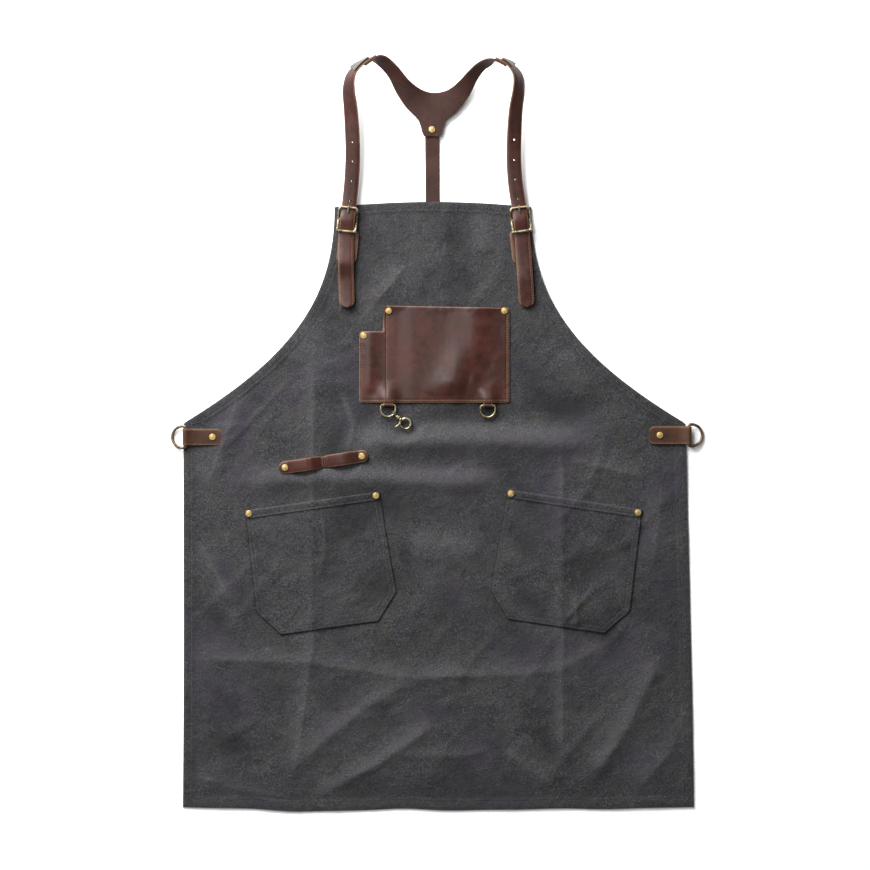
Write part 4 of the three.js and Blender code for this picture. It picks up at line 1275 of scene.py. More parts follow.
    def wear(self, x: Array, y: Array) -> Array:
        """Where creases and hems have rubbed pale, and where fold crests are lightened by pale wear and a
        painted highlight.

        Args:
            x: Plan places.
            y: Plan places.

        Returns:
            Shares from 0 to 1.
        """
        marks = np.zeros(np.shape(x))
        for fold in CANVAS_FOLDS:
            if fold.form is CREASE:
                marks = np.maximum(marks, 0.7 * fold.rubbed(2.6).height(x, y))
        hems = bell(self.inset(x, y), 2.0)
        # Fold crests lightened by their height: partly pale wear, partly a painted highlight.
        crest_wear_and_highlight = np.clip(sum(f.height(x, y) for f in CANVAS_FOLDS) / 7.0, 0.0, 0.45)
        return np.clip(np.maximum(np.maximum(marks, 0.35 * hems), crest_wear_and_highlight), 0.0, 1.0)

    def shade(self, x: Array, y: Array) -> Array:
        """Painted shade: darker colour in the dips of the cloth's relief, where shade falls."""
        return np.clip(0.3 - self.relief(x, y) / 3.4, 0.0, 1.0)

    def cushion(self, x: Array, y: Array, reach: float) -> Array:
        """Height that a stiffer piece rests at: the highest front face within a reach."""
        ring = [(reach * math.cos(a), reach * math.sin(a)) for a in np.arange(8) * math.pi / 4]
        return np.max([self.top(x + dx, y + dy) for dx, dy in [(0.0, 0.0), *ring]], axis=0)

    def seam(self, inset: float) -> list[Array]:
        """Plan lines of the hem stitching, a chosen distance inside the outline.

        Args:
            inset: The distance.

        Returns:
            The two sides, the hem and the bib's top.
        """
        levels = np.linspace(self.hem_y + inset, self.bib_top - inset, 400)
        slope = (self.half(levels + 1.0) - self.half(levels - 1.0)) / 2.0
        inside = self.half(levels) - inset * np.sqrt(1.0 + slope**2)
        sides = [np.column_stack([self.drift(levels) + s * inside, levels]) for s in (-1, 1)]
        x = np.linspace(-self.hem_half + inset, self.hem_half - inset, 300) + 1.4
        hem = np.column_stack([x, self.hem_y - self.sag(x) + inset])
        x = np.linspace(-self.bib_half + inset, self.bib_half - inset, 120) - 6.0
        bib = np.column_stack([x, self.bib_top + self.crown(x) - inset])
        return [*sides, hem, bib]

    def build(self) -> None:
        """Makes the sheet and its hem stitching."""
        x, y = self.grid()
        # The value shade carries painted shade in the dips; wear carries pale wear plus a painted highlight
        # on fold crests.
        values = {"wear": self.wear(x, y), "shade": self.shade(x, y)}
        shape = closed_wall(raised(x, y, self.top(x, y)), raised(x, y, self.underside(x, y)), values)
        sheet = self.shop.piece("canvas_sheet", shape, Dress.CANVAS, "canvas_body")
        rows = []
        for line in self.seam(self.seam_in):
            plan = resample(line, 2.0)
            points = np.column_stack([plan, self.top(plan[:, 0], plan[:, 1]) + 0.12])
            rows.append(stitches(points, UP, self.sewing))
        seams = self.shop.piece("canvas_hem_stitching", Shape.joined(rows), Dress.GREY_THREAD)
        levels = np.linspace(self.hem_y, self.bib_top, 400)
        area = np.trapz(2.0 * self.half(levels), levels) * MM * MM


def offset_line(plan: Array, inset: float) -> Array:
    """An open plan line moved to its left by a distance, with mitred corners.

    Args:
        plan: Points of the line.
        inset: The distance.

    Returns:
        The moved points.
    """
    run = unit(np.diff(plan, axis=0))
    left = np.column_stack([-run[:, 1], run[:, 0]])
    moved = [plan[0] + inset * left[0]]
    for k in range(1, len(plan) - 1):
        half = unit(left[k - 1] + left[k])
        moved.append(plan[k] + half * inset / np.dot(half, left[k]))
    moved.append(plan[-1] + inset * left[-1])
    return np.array(moved)


@dataclass
class PatchPocket(Assembly):
    """A slanted canvas pocket with a hemmed mouth and cut lower corners."""

    canvas: Canvas
    side: Side
    mouth_x: float
    mouth_y: float
    turn: float
    creases: tuple[Fold, ...]
    mouth: float = 181.0
    widest: float = 189.0
    side_depth: float = 136.0
    foot: float = 131.0
    depth: float = 171.0
    wall: float = 1.8
    band: float = 10.7
    mouth_seam: float = 8.9
    slack: float = 1.8
    seams: Pair = (2.4, 7.8)
    sewing: Sewing = Sewing(3.4, 2.5, 0.6)
    close: tuple[float, ...] = (0.0, 0.5, 1.2, 2.4, 4.0, 6.0, 7.8, 9.4)
    mouth_rows: tuple[float, ...] = (0.0, 0.5, 1.2, 3.0, 6.0, 8.0, 8.9, 9.8, 10.7, 11.3, 12.0, 14.0)

    def plan(self, aside: Array, depth: Array) -> tuple[Array, Array]:
        """Plan place of a spot of the pocket."""
        c, s = math.cos(math.radians(self.turn)), math.sin(math.radians(self.turn))
        return self.mouth_x + aside * c + depth * s, self.mouth_y + aside * s - depth * c

    def half(self, depth: Array) -> Array:
        """Half width at a depth below the mouth."""
        upper = lerp(self.mouth, self.widest, np.clip(depth / self.side_depth, 0, 1))
        below = np.clip((depth - self.side_depth) / (self.depth - self.side_depth), 0, 1)
        return lerp(upper, self.foot, below) / 2

    def inset(self, aside: Array, depth: Array) -> Array:
        """Distance from the sewn edges.

        Args:
            aside: Distances from the pocket's middle line.
            depth: Distances below its mouth.

        Returns:
            The distances, 0 outside.
        """
        cut = np.array([(self.widest - self.foot) / 2, self.depth - self.side_depth])
        normal = np.array([cut[1], cut[0]]) / np.linalg.norm(cut)
        corner = (self.widest / 2 - np.abs(aside)) * normal[0] + (self.side_depth - depth) * normal[1]
        width = lerp(self.mouth, self.widest, np.clip(depth / self.side_depth, 0, 1))
        return np.maximum(least(width / 2 - np.abs(aside), corner, self.depth - depth), 0.0)

    def heights(self, aside: Array, depth: Array) -> tuple[Array, Array]:
        """Heights of the underside and of the front face.

        Args:
            aside: Distances from the pocket's middle line.
            depth: Distances below its mouth.

        Returns:
            Both heights.
        """
        x, y = self.plan(aside, depth)
        share = np.clip(aside / (2 * self.half(depth)) + 0.5, 0, 1)
        loose = self.slack * np.sin(math.pi * share) * (1 - (depth / self.depth) ** 2)
        relief = sum(fold.height(x, y) for fold in self.creases)
        seat = self.canvas.top(x, y) + GAP + loose + relief
        edge = self.inset(aside, depth)
        hem = 1.2 * (1 - smooth((depth - self.band) / 1.0))
        sewn = sum(bell(edge - seam, 1.1) for seam in self.seams)
        mouth_seam = bell(depth - self.mouth_seam, 1.1)
        rounded = 0.55 * (1 - smooth(np.minimum(edge, depth) / 1.2))
        pucker = 0.16 * self.canvas.ripples.at(x, y, 6.0) * bell(edge, 9.0)
        front = seat + self.wall + hem - 0.45 * sewn - 0.5 * mouth_seam - rounded + pucker
        return seat, np.maximum(front, seat + 0.5)

    def grid(self) -> tuple[Array, Array]:
        """Aside and depth of the grid, rows from foot to mouth.

        Returns:
            Both, at each spot of the grid.
        """
        close = np.array(self.close)
        inner = np.linspace(16, self.depth - 10, 66)
        levels = np.concatenate([self.mouth_rows, inner, [self.side_depth], self.depth - close])
        levels = np.unique(levels)[::-1]
        rows = []
        for level in levels:
            half = float(self.half(np.array(level)))
            inner = np.linspace(close[-1] - half + 1.5, half - close[-1] - 1.5, 76)
            rows.append(np.concatenate([close - half, inner, (half - close)[::-1]]))
        aside = np.array(rows)
        return aside, np.repeat(levels[:, None], aside.shape[1], axis=1)

    def build(self) -> None:
        """Makes the pocket and its stitching."""
        aside, depth = self.grid()
        x, y = self.plan(aside, depth)
        seat, front = self.heights(aside, depth)
        edge = self.inset(aside, depth)
        wear = 0.5 * bell(depth, 2.0)
        # Painted shade in the canvas dips, and a painted shadow line along the pocket's sewn edges.
        shade = np.maximum(self.canvas.shade(x, y), 1.4 * bell(edge, 1.3))
        for fold in self.creases:
            if fold.form is CREASE:
                wear = np.maximum(wear, 0.4 * fold.rubbed(2.0).height(x, y))
        shape = closed_wall(raised(x, y, front), raised(x, y, seat), {"wear": wear, "shade": shade})
        name = self.side.value
        sheet = self.shop.piece(f"pocket_sheet_{name}", shape, Dress.CANVAS, f"pocket_{name}")
        corners = [(self.mouth, 0.5), (self.widest, self.side_depth), (self.foot, self.depth)]
        half = np.array(corners) * (0.5, 1)
        outline = np.concatenate([half * (-1, 1), half[::-1]])
        lines = [offset_line(outline * (1, -1), seam) * (1, -1) for seam in self.seams]
        end = self.mouth / 2 - 3.0
        lines.append(np.array([(-end, self.mouth_seam), (end, self.mouth_seam)]))
        rows = []
        for line in lines:
            spots = resample(line, 1.5)
            front = self.heights(*spots.T)[1]
            points = np.column_stack([*self.plan(*spots.T), front + 0.1])
            rows.append(stitches(points, UP, self.sewing))
        seams = self.shop.piece(f"pocket_stitching_{name}", Shape.joined(rows), Dress.GREY_THREAD)
        levels = np.linspace(0.0, self.depth, 200)
        area = np.trapz(2 * self.half(levels), levels) * MM * MM


POCKET_CREASES = {
    Side.LEFT: (Fold(((-154, -88), (-150, -150), (-160, -200)), 1.3, 5, CREASE, 0.3),),
    Side.RIGHT: (
        Fold(((237, -120), (233, -215)), -1.0, 14),
        Fold(((184, -205), (187, -262)), 1.0, 4, CREASE, 0.3),
    ),
}


@dataclass
class ChestPocket(Assembly):
    """Leather chest pocket with a lower pen pocket on its left."""

    canvas: Canvas
    left: float = -103.8
    step: float = -70.7
    right: float = 96.0
    top_left: float = 171.6
    top_right: float = 168.4
    pen_top: float = 137.3
    foot: float = 42.4
    wall: float = 2.0
    seam_in: float = 3.2
    sewing: Sewing = Sewing(3.5, 2.5, 0.75)
    close: tuple[float, ...] = (0.0, 0.5, 1.2, 2.3, 3.2, 4.2, 6.0)
    tabs: tuple[Pair, ...] = ((-65.4, 5.4), (67.4, 6.3))
    ridges: tuple[Fold, ...] = (
        Fold(((54, 186), (46, 118), (10, 40)), 5.2, 23, SOFT, 0.05),
        Fold(((52, 186), (47, 112), (44, 36)), 3.6, 15, SOFT, 0.05),
        Fold(((-54, 176), (-57, 52)), 0.2, 9, SOFT, 0.15),
        Fold(((-89, 146), (-92, 50)), 1.8, 10, SOFT, 0.12),
        Fold(((74, 172), (70, 60)), 0.7, 14, SOFT, 0.2),
    )

    def upper(self, x: Array) -> Array:
        """Height of the mouth edge in plan."""
        share = (x - self.step) / (self.right - self.step)
        return np.where(x < self.step, self.pen_top, lerp(self.top_left, self.top_right, share))

    def heights(self, x: Array, y: Array) -> tuple[Array, Array]:
        """Heights of the underside and of the front face.

        Args:
            x: Plan places.
            y: Plan places.

        Returns:
            Both heights.
        """
        bulge = np.max([ridge.height(x, y) for ridge in self.ridges], axis=0)
        edge = least(x - self.left, self.right - x, y - self.foot)
        divider = x - self.step - self.seam_in
        sewn = smooth(edge / 14.0) * smooth((y - self.foot) / 30.0) * smooth(np.abs(divider) / 7.0)
        lift = np.zeros(np.shape(x))
        for tab, height in self.tabs:
            rise = height * (1 - smooth((y - 44.5) / 30.0))
            lift = np.maximum(lift, rise * np.exp(-((np.abs(x - tab) / 12.5) ** 2.6)))
        seat = self.canvas.cushion(x, y, 12.0) + GAP + bulge * sewn + lift
        groove = bell(edge - self.seam_in, 0.9) + bell(divider, 0.9)
        rim = np.minimum(edge, self.upper(x) - y)
        rounded = 0.6 * (1 - smooth(rim / 1.3))
        return seat, seat + self.wall - 0.3 * np.clip(groove, 0, 1) - rounded

    def columns(self) -> Array:
        """Plan columns, close together at the edges, the step and the divider.

        Returns:
            Places along X.
        """
        near = np.array(self.close)
        pen = np.linspace(self.left + 8, self.step - 8, 10)
        main = np.linspace(self.step + 8, self.right - 8, 84)
        lower = [self.left + near, pen, self.step - 0.3 - near[::-1]]
        return np.concatenate([*lower, self.step + near, main, self.right - near[::-1]])

    def build(self) -> None:
        """Makes the pocket and its stitching."""
        across = self.columns()
        near = np.array(self.close)
        span = 120.0
        inner = np.linspace(8.0, span - 6.0, 64)
        share = np.concatenate([near / span, inner / span, 1 - near[3::-1] / span])
        x = np.repeat(across[None], len(share), axis=0)
        y = self.foot + share[:, None] * (self.upper(across) - self.foot)[None]
        edge = least(x - self.left, self.right - x, y - self.foot, self.upper(x) - y)
        inner_step = np.where(y > self.pen_top - 0.5, np.abs(x - self.step), 50.0)
        rim = bell(np.minimum(edge, inner_step), 0.9)
        for corner in (
            (self.left, self.foot, 1, 1),
            (self.right, self.foot, -1, 1),
            (self.right, self.top_right, -1, -1),
            (self.step, self.top_left, 1, -1),
            (self.left, self.pen_top, 1, -1),
        ):
            x, y = rounded_corner(x, y, corner, 4.5)
        seat, front = self.heights(x, y)
        shape = closed_wall(raised(x, y, front), raised(x, y, seat), {"edge": rim})
        sheet = self.shop.piece("chest_pocket_leather", shape, Dress.LEATHER, "chest_pocket")
        left, right = self.left + self.seam_in, self.right - self.seam_in
        low, inner = self.foot + self.seam_in, self.step + self.seam_in
        edges = [(left, self.pen_top - 9.0), (left, low), (right, low), (right, self.top_right - 8.0)]
        divider = [(inner, low + 2.0), (inner, self.top_left - 10.0)]
        rows = []
        for line in (edges, divider):
            spots = resample(np.array(line), 1.2)
            height = self.heights(*spots.T)[1]
            rows.append(stitches(np.column_stack([spots, height + 0.1]), UP, self.sewing))
        seams = self.shop.piece("chest_pocket_stitching", Shape.joined(rows), Dress.TAN_THREAD)


def rounded_corner(x: Array, y: Array, corner: Sequence[float], radius: float) -> tuple[Array, Array]:
    """Pulls the points in a square corner in to a quarter disc.

    Args:
        x: First plan values.
        y: Second plan values.
        corner: The corner's two plan values, then the signs of the ways inward.
        radius: Radius of the rounded corner.

    Returns:
        The new plan values.
    """
    dx = (corner[0] - x) * corner[2] + radius
    dy = (corner[1] - y) * corner[3] + radius
    reach = np.hypot(dx, dy)
    inside = (dx > 0) & (dy > 0) & (dx <= radius + 0.01) & (dy <= radius + 0.01)
    share = np.where(inside, np.maximum(dx, dy) / np.maximum(reach, 1e-9), 1.0)
    return (
        corner[0] + corner[2] * (radius - dx * share),
        corner[1] + corner[3] * (radius - dy * share),
    )


def trimmed(width: Array, short: Array, radius: float) -> Array:
    """Widths less what two round corners take off; short is how far a place lies inside them."""
    return width - 2 * (radius - np.sqrt(np.maximum(radius**2 - short**2, 0.0)))


def rounded_ends(run: Array, width: float, radius: float) -> Array:
    """Widths at distances along a strip whose two ends are rounded off by a corner radius."""
    short = np.clip(radius - np.minimum(run - run[0], run[-1] - run), 0.0, radius)
    return trimmed(width, short, radius) + 0.02


END_STEPS = 9


def close_ends(length: float, radius: float, count: int) -> Array:
    """Distances along a strip, close together at its rounded ends."""
    turn = radius * (1 - np.cos(np.linspace(0.0, math.pi / 2, END_STEPS)))
    return np.concatenate([turn, np.linspace(radius, length - radius, count)[1:-1], (length - turn)[::-1]])


@dataclass
class ToolStrip(Assembly):
    """Leather strip, sewn at its middle and riveted at its ends, with a raised loop on each side."""

    canvas: Canvas
    x: float = -151.5
    y: float = -36.5
    turn: float = 8.4
    width: float = 16.8
    wall: float = 2.2
    half: float = 60.0
    loop_rise: float = 7.2
    sewing: Sewing = Sewing(2.6, 2.0, 0.8)

    def build(self) -> None:
        """Makes the strip and the two stitches of its pinched middle."""
        c, s = math.cos(math.radians(self.turn)), math.sin(math.radians(self.turn))
        corner = 0.48 * self.width
        run = close_ends(2 * self.half, corner, 90) - self.half
        x, y = self.x + run * c, self.y + run * s
        loop = np.clip((np.abs(run) - 4.0) / (self.half - 16.0), 0, 1)
        rise = self.loop_rise * np.sin(math.pi * loop) ** 1.2
        z = self.canvas.cushion(x, y, 8.0) + GAP + rise + self.wall / 2
        path = np.column_stack([x, y, z])
        ahead = unit(np.gradient(path, axis=0))
        across = np.broadcast_to(np.array([s, -c, 0.0]), path.shape)
        outward = unit(np.cross(across, ahead))
        pinch = 1 - 0.16 * bell(run, 4.5)
        width = rounded_ends(run, self.width, corner) * pinch
        shape = ribbon(path, across, outward, width, self.wall, columns=12, crown=0.5)
        self.shop.piece("tool_strip_leather", shape, Dress.LEATHER, "tool_strip")
        rows = []
        for aside in (-1.6, 1.6):
            along = np.linspace(-5.5, 5.5, 12)
            plan = np.column_stack([self.x + aside * c - along * s, self.y + aside * s + along * c])
            points = flat_points(plan, np.interp(0.0, run, z) + self.wall / 2 + 0.25)
            rows.append(stitches(points, UP, self.sewing))
        self.shop.piece("tool_strip_stitching", Shape.joined(rows), Dress.TAN_THREAD)


STRAP_WALL = 3.1


class Section(NamedTuple):
    """A cross-section of a strap: its middle, how far it leans onto its edge in degrees, and its width."""

    x: float
    y: float
    z: float
    lean: float
    width: float = 19.6


STRAP_ROWS = {
    Side.LEFT: (
        Section(-120.3, 169.0, 9.8, 0, 20.8), Section(-120.4, 178.0, 8.6, 0, 20.8),
        Section(-121.1, 208.0, 8.4, 0, 20.8), Section(-121.5, 228.0, 12.6, 0, 20.8),
        Section(-121.4, 250.0, 11.2, 0, 20.4), Section(-120.6, 270.0, 11.4, 0),
        Section(-119.4, 286.0, 14.2, 0), Section(-117.6, 301.4, 12.2, 0),
        Section(-114.0, 336.7, 14.0, 1), Section(-112.4, 368.7, 17.5, 3),
        Section(-113.0, 400.7, 22.0, 9), Section(-115.2, 432.7, 26.5, 21),
        Section(-117.5, 456.7, 29.5, 34), Section(-115.7, 472.7, 31.0, 47),
        Section(-110.8, 482.5, 31.6, 59), Section(-98.5, 492.6, 31.4, 75),
        Section(-82.0, 501.4, 30.4, 88), Section(-72.0, 503.0, 29.4, 92),
    ),
    Side.RIGHT: (
        Section(119.4, 169.6, 7.0, 0, 20.8), Section(119.0, 178.0, 7.4, 0, 20.8),
        Section(117.0, 208.0, 10.6, 0, 20.8), Section(115.6, 228.0, 9.8, 0, 20.8),
        Section(114.1, 250.0, 10.0, 0, 20.4), Section(112.6, 270.0, 11.4, 0),
        Section(111.0, 286.0, 14.2, 0), Section(108.8, 301.4, 12.2, 0),
        Section(103.6, 336.7, 13.2, -1), Section(101.8, 368.7, 15.6, -4),
        Section(102.4, 400.7, 18.4, -11), Section(104.6, 432.7, 20.6, -23),
        Section(108.2, 456.7, 22.0, -36), Section(108.3, 472.7, 22.6, -47),
        Section(104.6, 482.5, 22.8, -58), Section(94.0, 493.0, 22.6, -74),
        Section(77.0, 499.6, 22.2, -88), Section(66.0, 502.0, 22.0, -92),
    ),
}


class Hole(NamedTuple):
    """A punched hole of a strap: its place in plan, and how far the punch leaned in degrees."""

    x: float
    y: float
    slant: float


STRAP_HOLES = {
    Side.LEFT: (
        Hole(-116.6, 310.5, 42.0),
        Hole(-114.0, 337.0, 39.0),
        Hole(-112.7, 362.7, 40.0),
        Hole(-112.6, 388.0, 36.0),
    ),
    Side.RIGHT: (
        Hole(107.2, 313.2, 34.0),
        Hole(103.4, 339.0, 32.0),
        Hole(101.9, 364.8, 20.0),
        Hole(102.0, 391.7, 7.0),
    ),
}


@dataclass
class StrapLine:
    """The moving frame along a strap's sections."""

    side: Side
    pared_from: float = 15.55

    @property
    def rows(self) -> tuple[Section, ...]:
        """The strap's sections."""
        return STRAP_ROWS[self.side]

    def walls(self, spots: Array) -> Array:
        """Thicknesses at row numbers; the left strap is pared down at its upper end."""
        pared = 1.4 if self.side is Side.LEFT else 0.0
        return STRAP_WALL - pared * smooth((spots - self.pared_from) / 0.7)

    def frames(self, spots: Array) -> tuple[Array, Array, Array, Array]:
        """Middle points, sideways and outward directions, and widths, at row numbers with fractions.

        Args:
            spots: The row numbers.

        Returns:
            One row for each spot in all four.
        """
        rows = np.array(self.rows)
        line = spline(rows, spots)
        near = [spline(rows, np.clip(spots + step, 0, len(rows) - 1))[:, :3] for step in (0.02, -0.02)]
        ahead = unit(near[0] - near[1])
        level = unit(np.cross(ahead, UP))
        leans = [row.lean for row in self.rows]
        lean = -np.radians(np.interp(spots, np.arange(len(rows)), leans))[:, None]
        across = level * np.cos(lean) + np.cross(ahead, level) * np.sin(lean)
        return line[:, :3], across, np.cross(across, ahead), line[:, 4]


def punch(target: bpy.types.Object, cutters: Sequence[Shape]) -> None:
    """Cuts shapes out of an object's mesh.

    Args:
        target: The object, whose mesh is replaced.
        cutters: Closed shapes to take away.
    """
    tool_mesh = bpy.data.meshes.new("punch")
    tools = Shape.joined(cutters)
    tool_mesh.from_pydata((tools.vertices * MM).tolist(), [], tools.faces)
    tool = linked("punch", tool_mesh)
    cut = target.modifiers.new("holes", "BOOLEAN")
    cut.operation = "DIFFERENCE"
    cut.solver = "EXACT"
    cut.object = tool
    done = bpy.data.meshes.new_from_object(target.evaluated_get(bpy.context.evaluated_depsgraph_get()))
    target.modifiers.clear()
    target.data = done
    bpy.data.objects.remove(tool)


@dataclass
class Strap(Assembly):
    """A front strap: leather with punched holes, edge stitching at its lower end, and a shoulder patch."""

    side: Side
    patch: Pair
    end: float
    hole: float = 1.35
    steps: int = 220
    seam_in: float = 2.4
    sewing: Sewing = Sewing(3.6, 2.6, 0.7)
    tip: float = 9.4
    patch_wall: float = 2.0

    def build(self) -> None:
        """Makes the strap, its stitching and its patch."""
        name = self.side.value
        line = StrapLine(self.side)
        tip = np.linspace(0.0, 1.0, 12) ** 1.6
        spots = np.concatenate([tip, np.linspace(1.0, self.end, self.steps)[1:]])
        middle, across, outward, width = line.frames(spots)
        from_tip = np.linalg.norm(middle - middle[0], axis=1)
        short = np.clip(self.tip - from_tip, 0.0, self.tip)
        width = trimmed(width, short, self.tip) + 0.1
        wall = line.walls(spots)
        middle = middle + outward * ((STRAP_WALL - wall) / 2)[:, None]
        strip = (middle, across, outward, width, STRAP_WALL)
        shape = ribbon(*strip, columns=18, bevel=0.8, crown=0.9, thin=wall / STRAP_WALL)
        strap = self.shop.piece(f"strap_leather_{name}", shape, Dress.LEATHER, f"strap_{name}")
        profile = [(0.0, -20.0), (self.hole, -20.0), (self.hole, 20.0), (0.0, 20.0)]
        cutters = []
        for hole in STRAP_HOLES[self.side]:
            level = float(np.interp(hole.y, middle[:, 1], middle[:, 2]))
            slant = turn_y(math.radians(hole.slant))
            cutters.append(lathe(profile, 14).moved(slant, (hole.x, hole.y, level)))
        punch(strap, cutters)
        ends = np.linspace(0.35, 4.6, 120)
        middle, across, outward, width = line.frames(ends)
        lines = []
        for edge in (-1, 1):
            inner = (width / 2 - self.seam_in)[:, None] * edge * across
            seam = middle + inner + outward * (STRAP_WALL / 2 + 0.05)
            lines.append(stitches(seam, outward, self.sewing))
        self.shop.piece(f"strap_stitching_{name}", Shape.joined(lines), Dress.TAN_THREAD)
        # Shoulder patch; its pale grey finish is a painted glare, a highlight put into the colour.
        middle, across, outward, width = line.frames(np.linspace(*self.patch, 24))
        wall = self.patch_wall
        middle = middle + outward * (STRAP_WALL / 2 + GAP + wall / 2)
        shape = ribbon(middle, across, outward, width - 1.4, wall, bevel=0.7)
        self.shop.piece(f"shoulder_patch_leather_{name}", shape, Dress.PATCH, f"shoulder_patch_{name}")


class YokeRow(NamedTuple):
    """A section of the yoke from its neck edge to its lower edge."""

    neck: Place
    low: Place


YOKE_ROWS = (
    YokeRow((-75.6, 501.6, 39.4), (-78.0, 490.4, 21.0)),
    YokeRow((-67.5, 500.2, 36.5), (-71.0, 483.6, 19.0)),
    YokeRow((-52.0, 487.0, 27.5), (-63.5, 474.0, 14.0)),
    YokeRow((-38.0, 471.0, 19.0), (-54.0, 454.5, 9.5)),
    YokeRow((-24.0, 460.5, 12.0), (-41.0, 435.0, 7.0)),
    YokeRow((-14.0, 456.5, 8.6), (-25.0, 418.0, 6.0)),
    YokeRow((-9.0, 455.4, 7.6), (-17.2, 397.3, 5.9)),
    YokeRow((-3.7, 455.0, 7.4), (-7.0, 397.3, 5.9)),
    YokeRow((2.0, 455.4, 7.4), (3.4, 397.3, 5.9)),
    YokeRow((9.0, 456.8, 7.8), (11.0, 417.0, 6.0)),
    YokeRow((18.0, 461.0, 9.5), (25.0, 429.0, 6.4)),
    YokeRow((30.0, 471.0, 13.5), (42.0, 450.0, 7.6)),
    YokeRow((42.0, 483.2, 19.0), (53.0, 472.0, 10.5)),
    YokeRow((54.0, 493.0, 25.5), (63.0, 485.4, 14.0)),
    YokeRow((66.0, 497.6, 30.0), (71.5, 491.4, 13.5)),
)


@dataclass
class Yoke(Assembly):
    """The leather yoke, flesh side up, whose arms tuck inside the strap ends."""

    wall: float = 3.2
    steps: int = 460
    rows: int = 26
    tuck: tuple[float, ...] = (15.0, 15.333, 15.667, 16.0)
    pressed: float = 0.25

    def tucked(self, side: Side) -> list[YokeRow]:
        """Sections that lie against the inside of a strap's end.

        Args:
            side: The strap's side.

        Returns:
            The sections, from the end in.
        """
        line = StrapLine(side)
        spots = np.array(self.tuck)
        middle, across, outward, width = line.frames(spots)
        depth = (STRAP_WALL - self.wall) / 2 - line.walls(spots) + self.pressed
        inward = middle + outward * depth[:, None]
        half = across * (-side.sign * (width[:, None] + 1.0) / 2)
        low = inward - half
        if side is Side.LEFT:
            low[-1] = (-83.6, 495.0, 20.6)
        return [YokeRow(tuple(m + h), tuple(n)) for m, h, n in zip(inward, half, low)]

    def build(self) -> None:
        """Makes the yoke."""
        sections = [*self.tucked(Side.LEFT), *YOKE_ROWS, *reversed(self.tucked(Side.RIGHT))]
        spots = np.linspace(0.0, len(sections) - 1.0, self.steps)
        neck = spline(np.array([s.neck for s in sections]), spots)
        low = spline(np.array([s.low for s in sections]), spots)
        share = np.concatenate([[0.0, 0.012, 0.03], np.linspace(0.06, 0.94, self.rows), [0.97, 0.988, 1.0]])
        points = low[None] + share[:, None, None] * (neck - low)[None]
        along = np.gradient(points, axis=1)
        up = unit(np.cross(along, np.broadcast_to((neck - low)[None], points.shape)))
        reach = np.linalg.norm(points[..., :2] - np.array([-46.0, 460.0]), axis=-1)
        creases = 0.5 * np.sin(run_along((neck + low) / 2) / 0.5)[None] * bell(reach, 15.0)
        to_edge = np.minimum(share, 1 - share)[:, None] * np.linalg.norm(neck - low, axis=1)[None]
        rounded = 0.5 * (1 - smooth(to_edge / 0.8))
        top = points + up * (self.wall / 2 - rounded + creases)[..., None]
        under = points - up * (self.wall / 2 - rounded)[..., None]
        shape = closed_wall(top, under, {"edge": bell(to_edge, 0.9)}, keep=1)
        self.shop.piece("yoke_leather", shape, Dress.FLESH, "yoke")


@dataclass
class BackStrap(Assembly):
    """Leather strap from under the yoke's tail down behind the bib."""

    width: float = 18.4
    wall: float = 2.6
    rows: tuple[Place, ...] = (
        (-7.0, 416.0, 2.9),
        (-7.0, 392.0, 2.9),
        (-6.8, 370.0, 1.6),
        (-6.6, 350.0, 1.35),
        (-6.5, 330.0, 1.3),
        (-6.2, 200.0, 1.3),
        (-5.8, 46.0, 1.3),
    )

    def build(self) -> None:
        """Makes the strap."""
        path = spline(np.array(self.rows), np.linspace(0.0, len(self.rows) - 1.0, 150))[::-1]
        path[:, 2] = np.maximum(path[:, 2], self.wall / 2)
        ahead = unit(np.gradient(path, axis=0))
        across = unit(np.cross(ahead, UP))
        width = rounded_ends(run_along(path), self.width, 5.0)
        shape = ribbon(path, across, np.cross(across, ahead), width, self.wall, bevel=0.7)
        self.shop.piece("back_strap_leather", shape, Dress.FLESH, "back_strap")


@dataclass
class FoldedTab:
    """A leather tab folded round a bar; the fold points to -X and its two layers run to +X."""

    width: float
    leather: float
    length: float
    bar: float
    neck: Optional[float] = None
    neck_length: float = 0.0
    corner: float = 0.42
    ease: float = 1.0

    def shape(self) -> Shape:
        """The folded strip, with the bar along Y at the origin.

        Returns:
            The closed strip.
        """
        inner = self.bar + GAP
        middle = inner + self.leather / 2
        upper = GAP - inner + self.leather / 2
        bend = arc(0.0, 0.0, middle, 270.0, 90.0 - 50.0 / self.ease, 22)
        radius = self.corner * self.width
        far = self.length - close_ends(2 * radius, radius, 3)[:END_STEPS]
        out = np.concatenate([far, np.linspace(far[-1], 0.0, 14)[1:-1]])
        lower = np.column_stack([out, np.full(len(out), -middle)])
        down = middle * (0.77 + np.array([0.23, 0.93, 1.63]) * self.ease)
        meet = np.column_stack([down, [0.35 * middle, upper + 0.25, upper]])
        back = np.concatenate([np.linspace(down[-1], far[-1], 14)[1:-1], far[::-1]])
        line = np.concatenate([lower, bend, meet, np.column_stack([back, np.full(len(back), upper)])])
        path = np.column_stack([line[:, 0], np.zeros(len(line)), line[:, 1]])
        ahead = unit(np.gradient(path, axis=0))
        across = np.broadcast_to(np.array([0.0, -1.0, 0.0]), path.shape)
        width = rounded_ends(run_along(path), self.width, radius)
        if self.neck is not None:
            narrow = 1 - smooth((line[:, 0] - self.neck_length) / ((self.width - self.neck) / 2))
            width = np.minimum(width, lerp(self.width, self.neck, narrow))
        return ribbon(path, across, np.cross(across, ahead), width, self.leather, bevel=0.5)


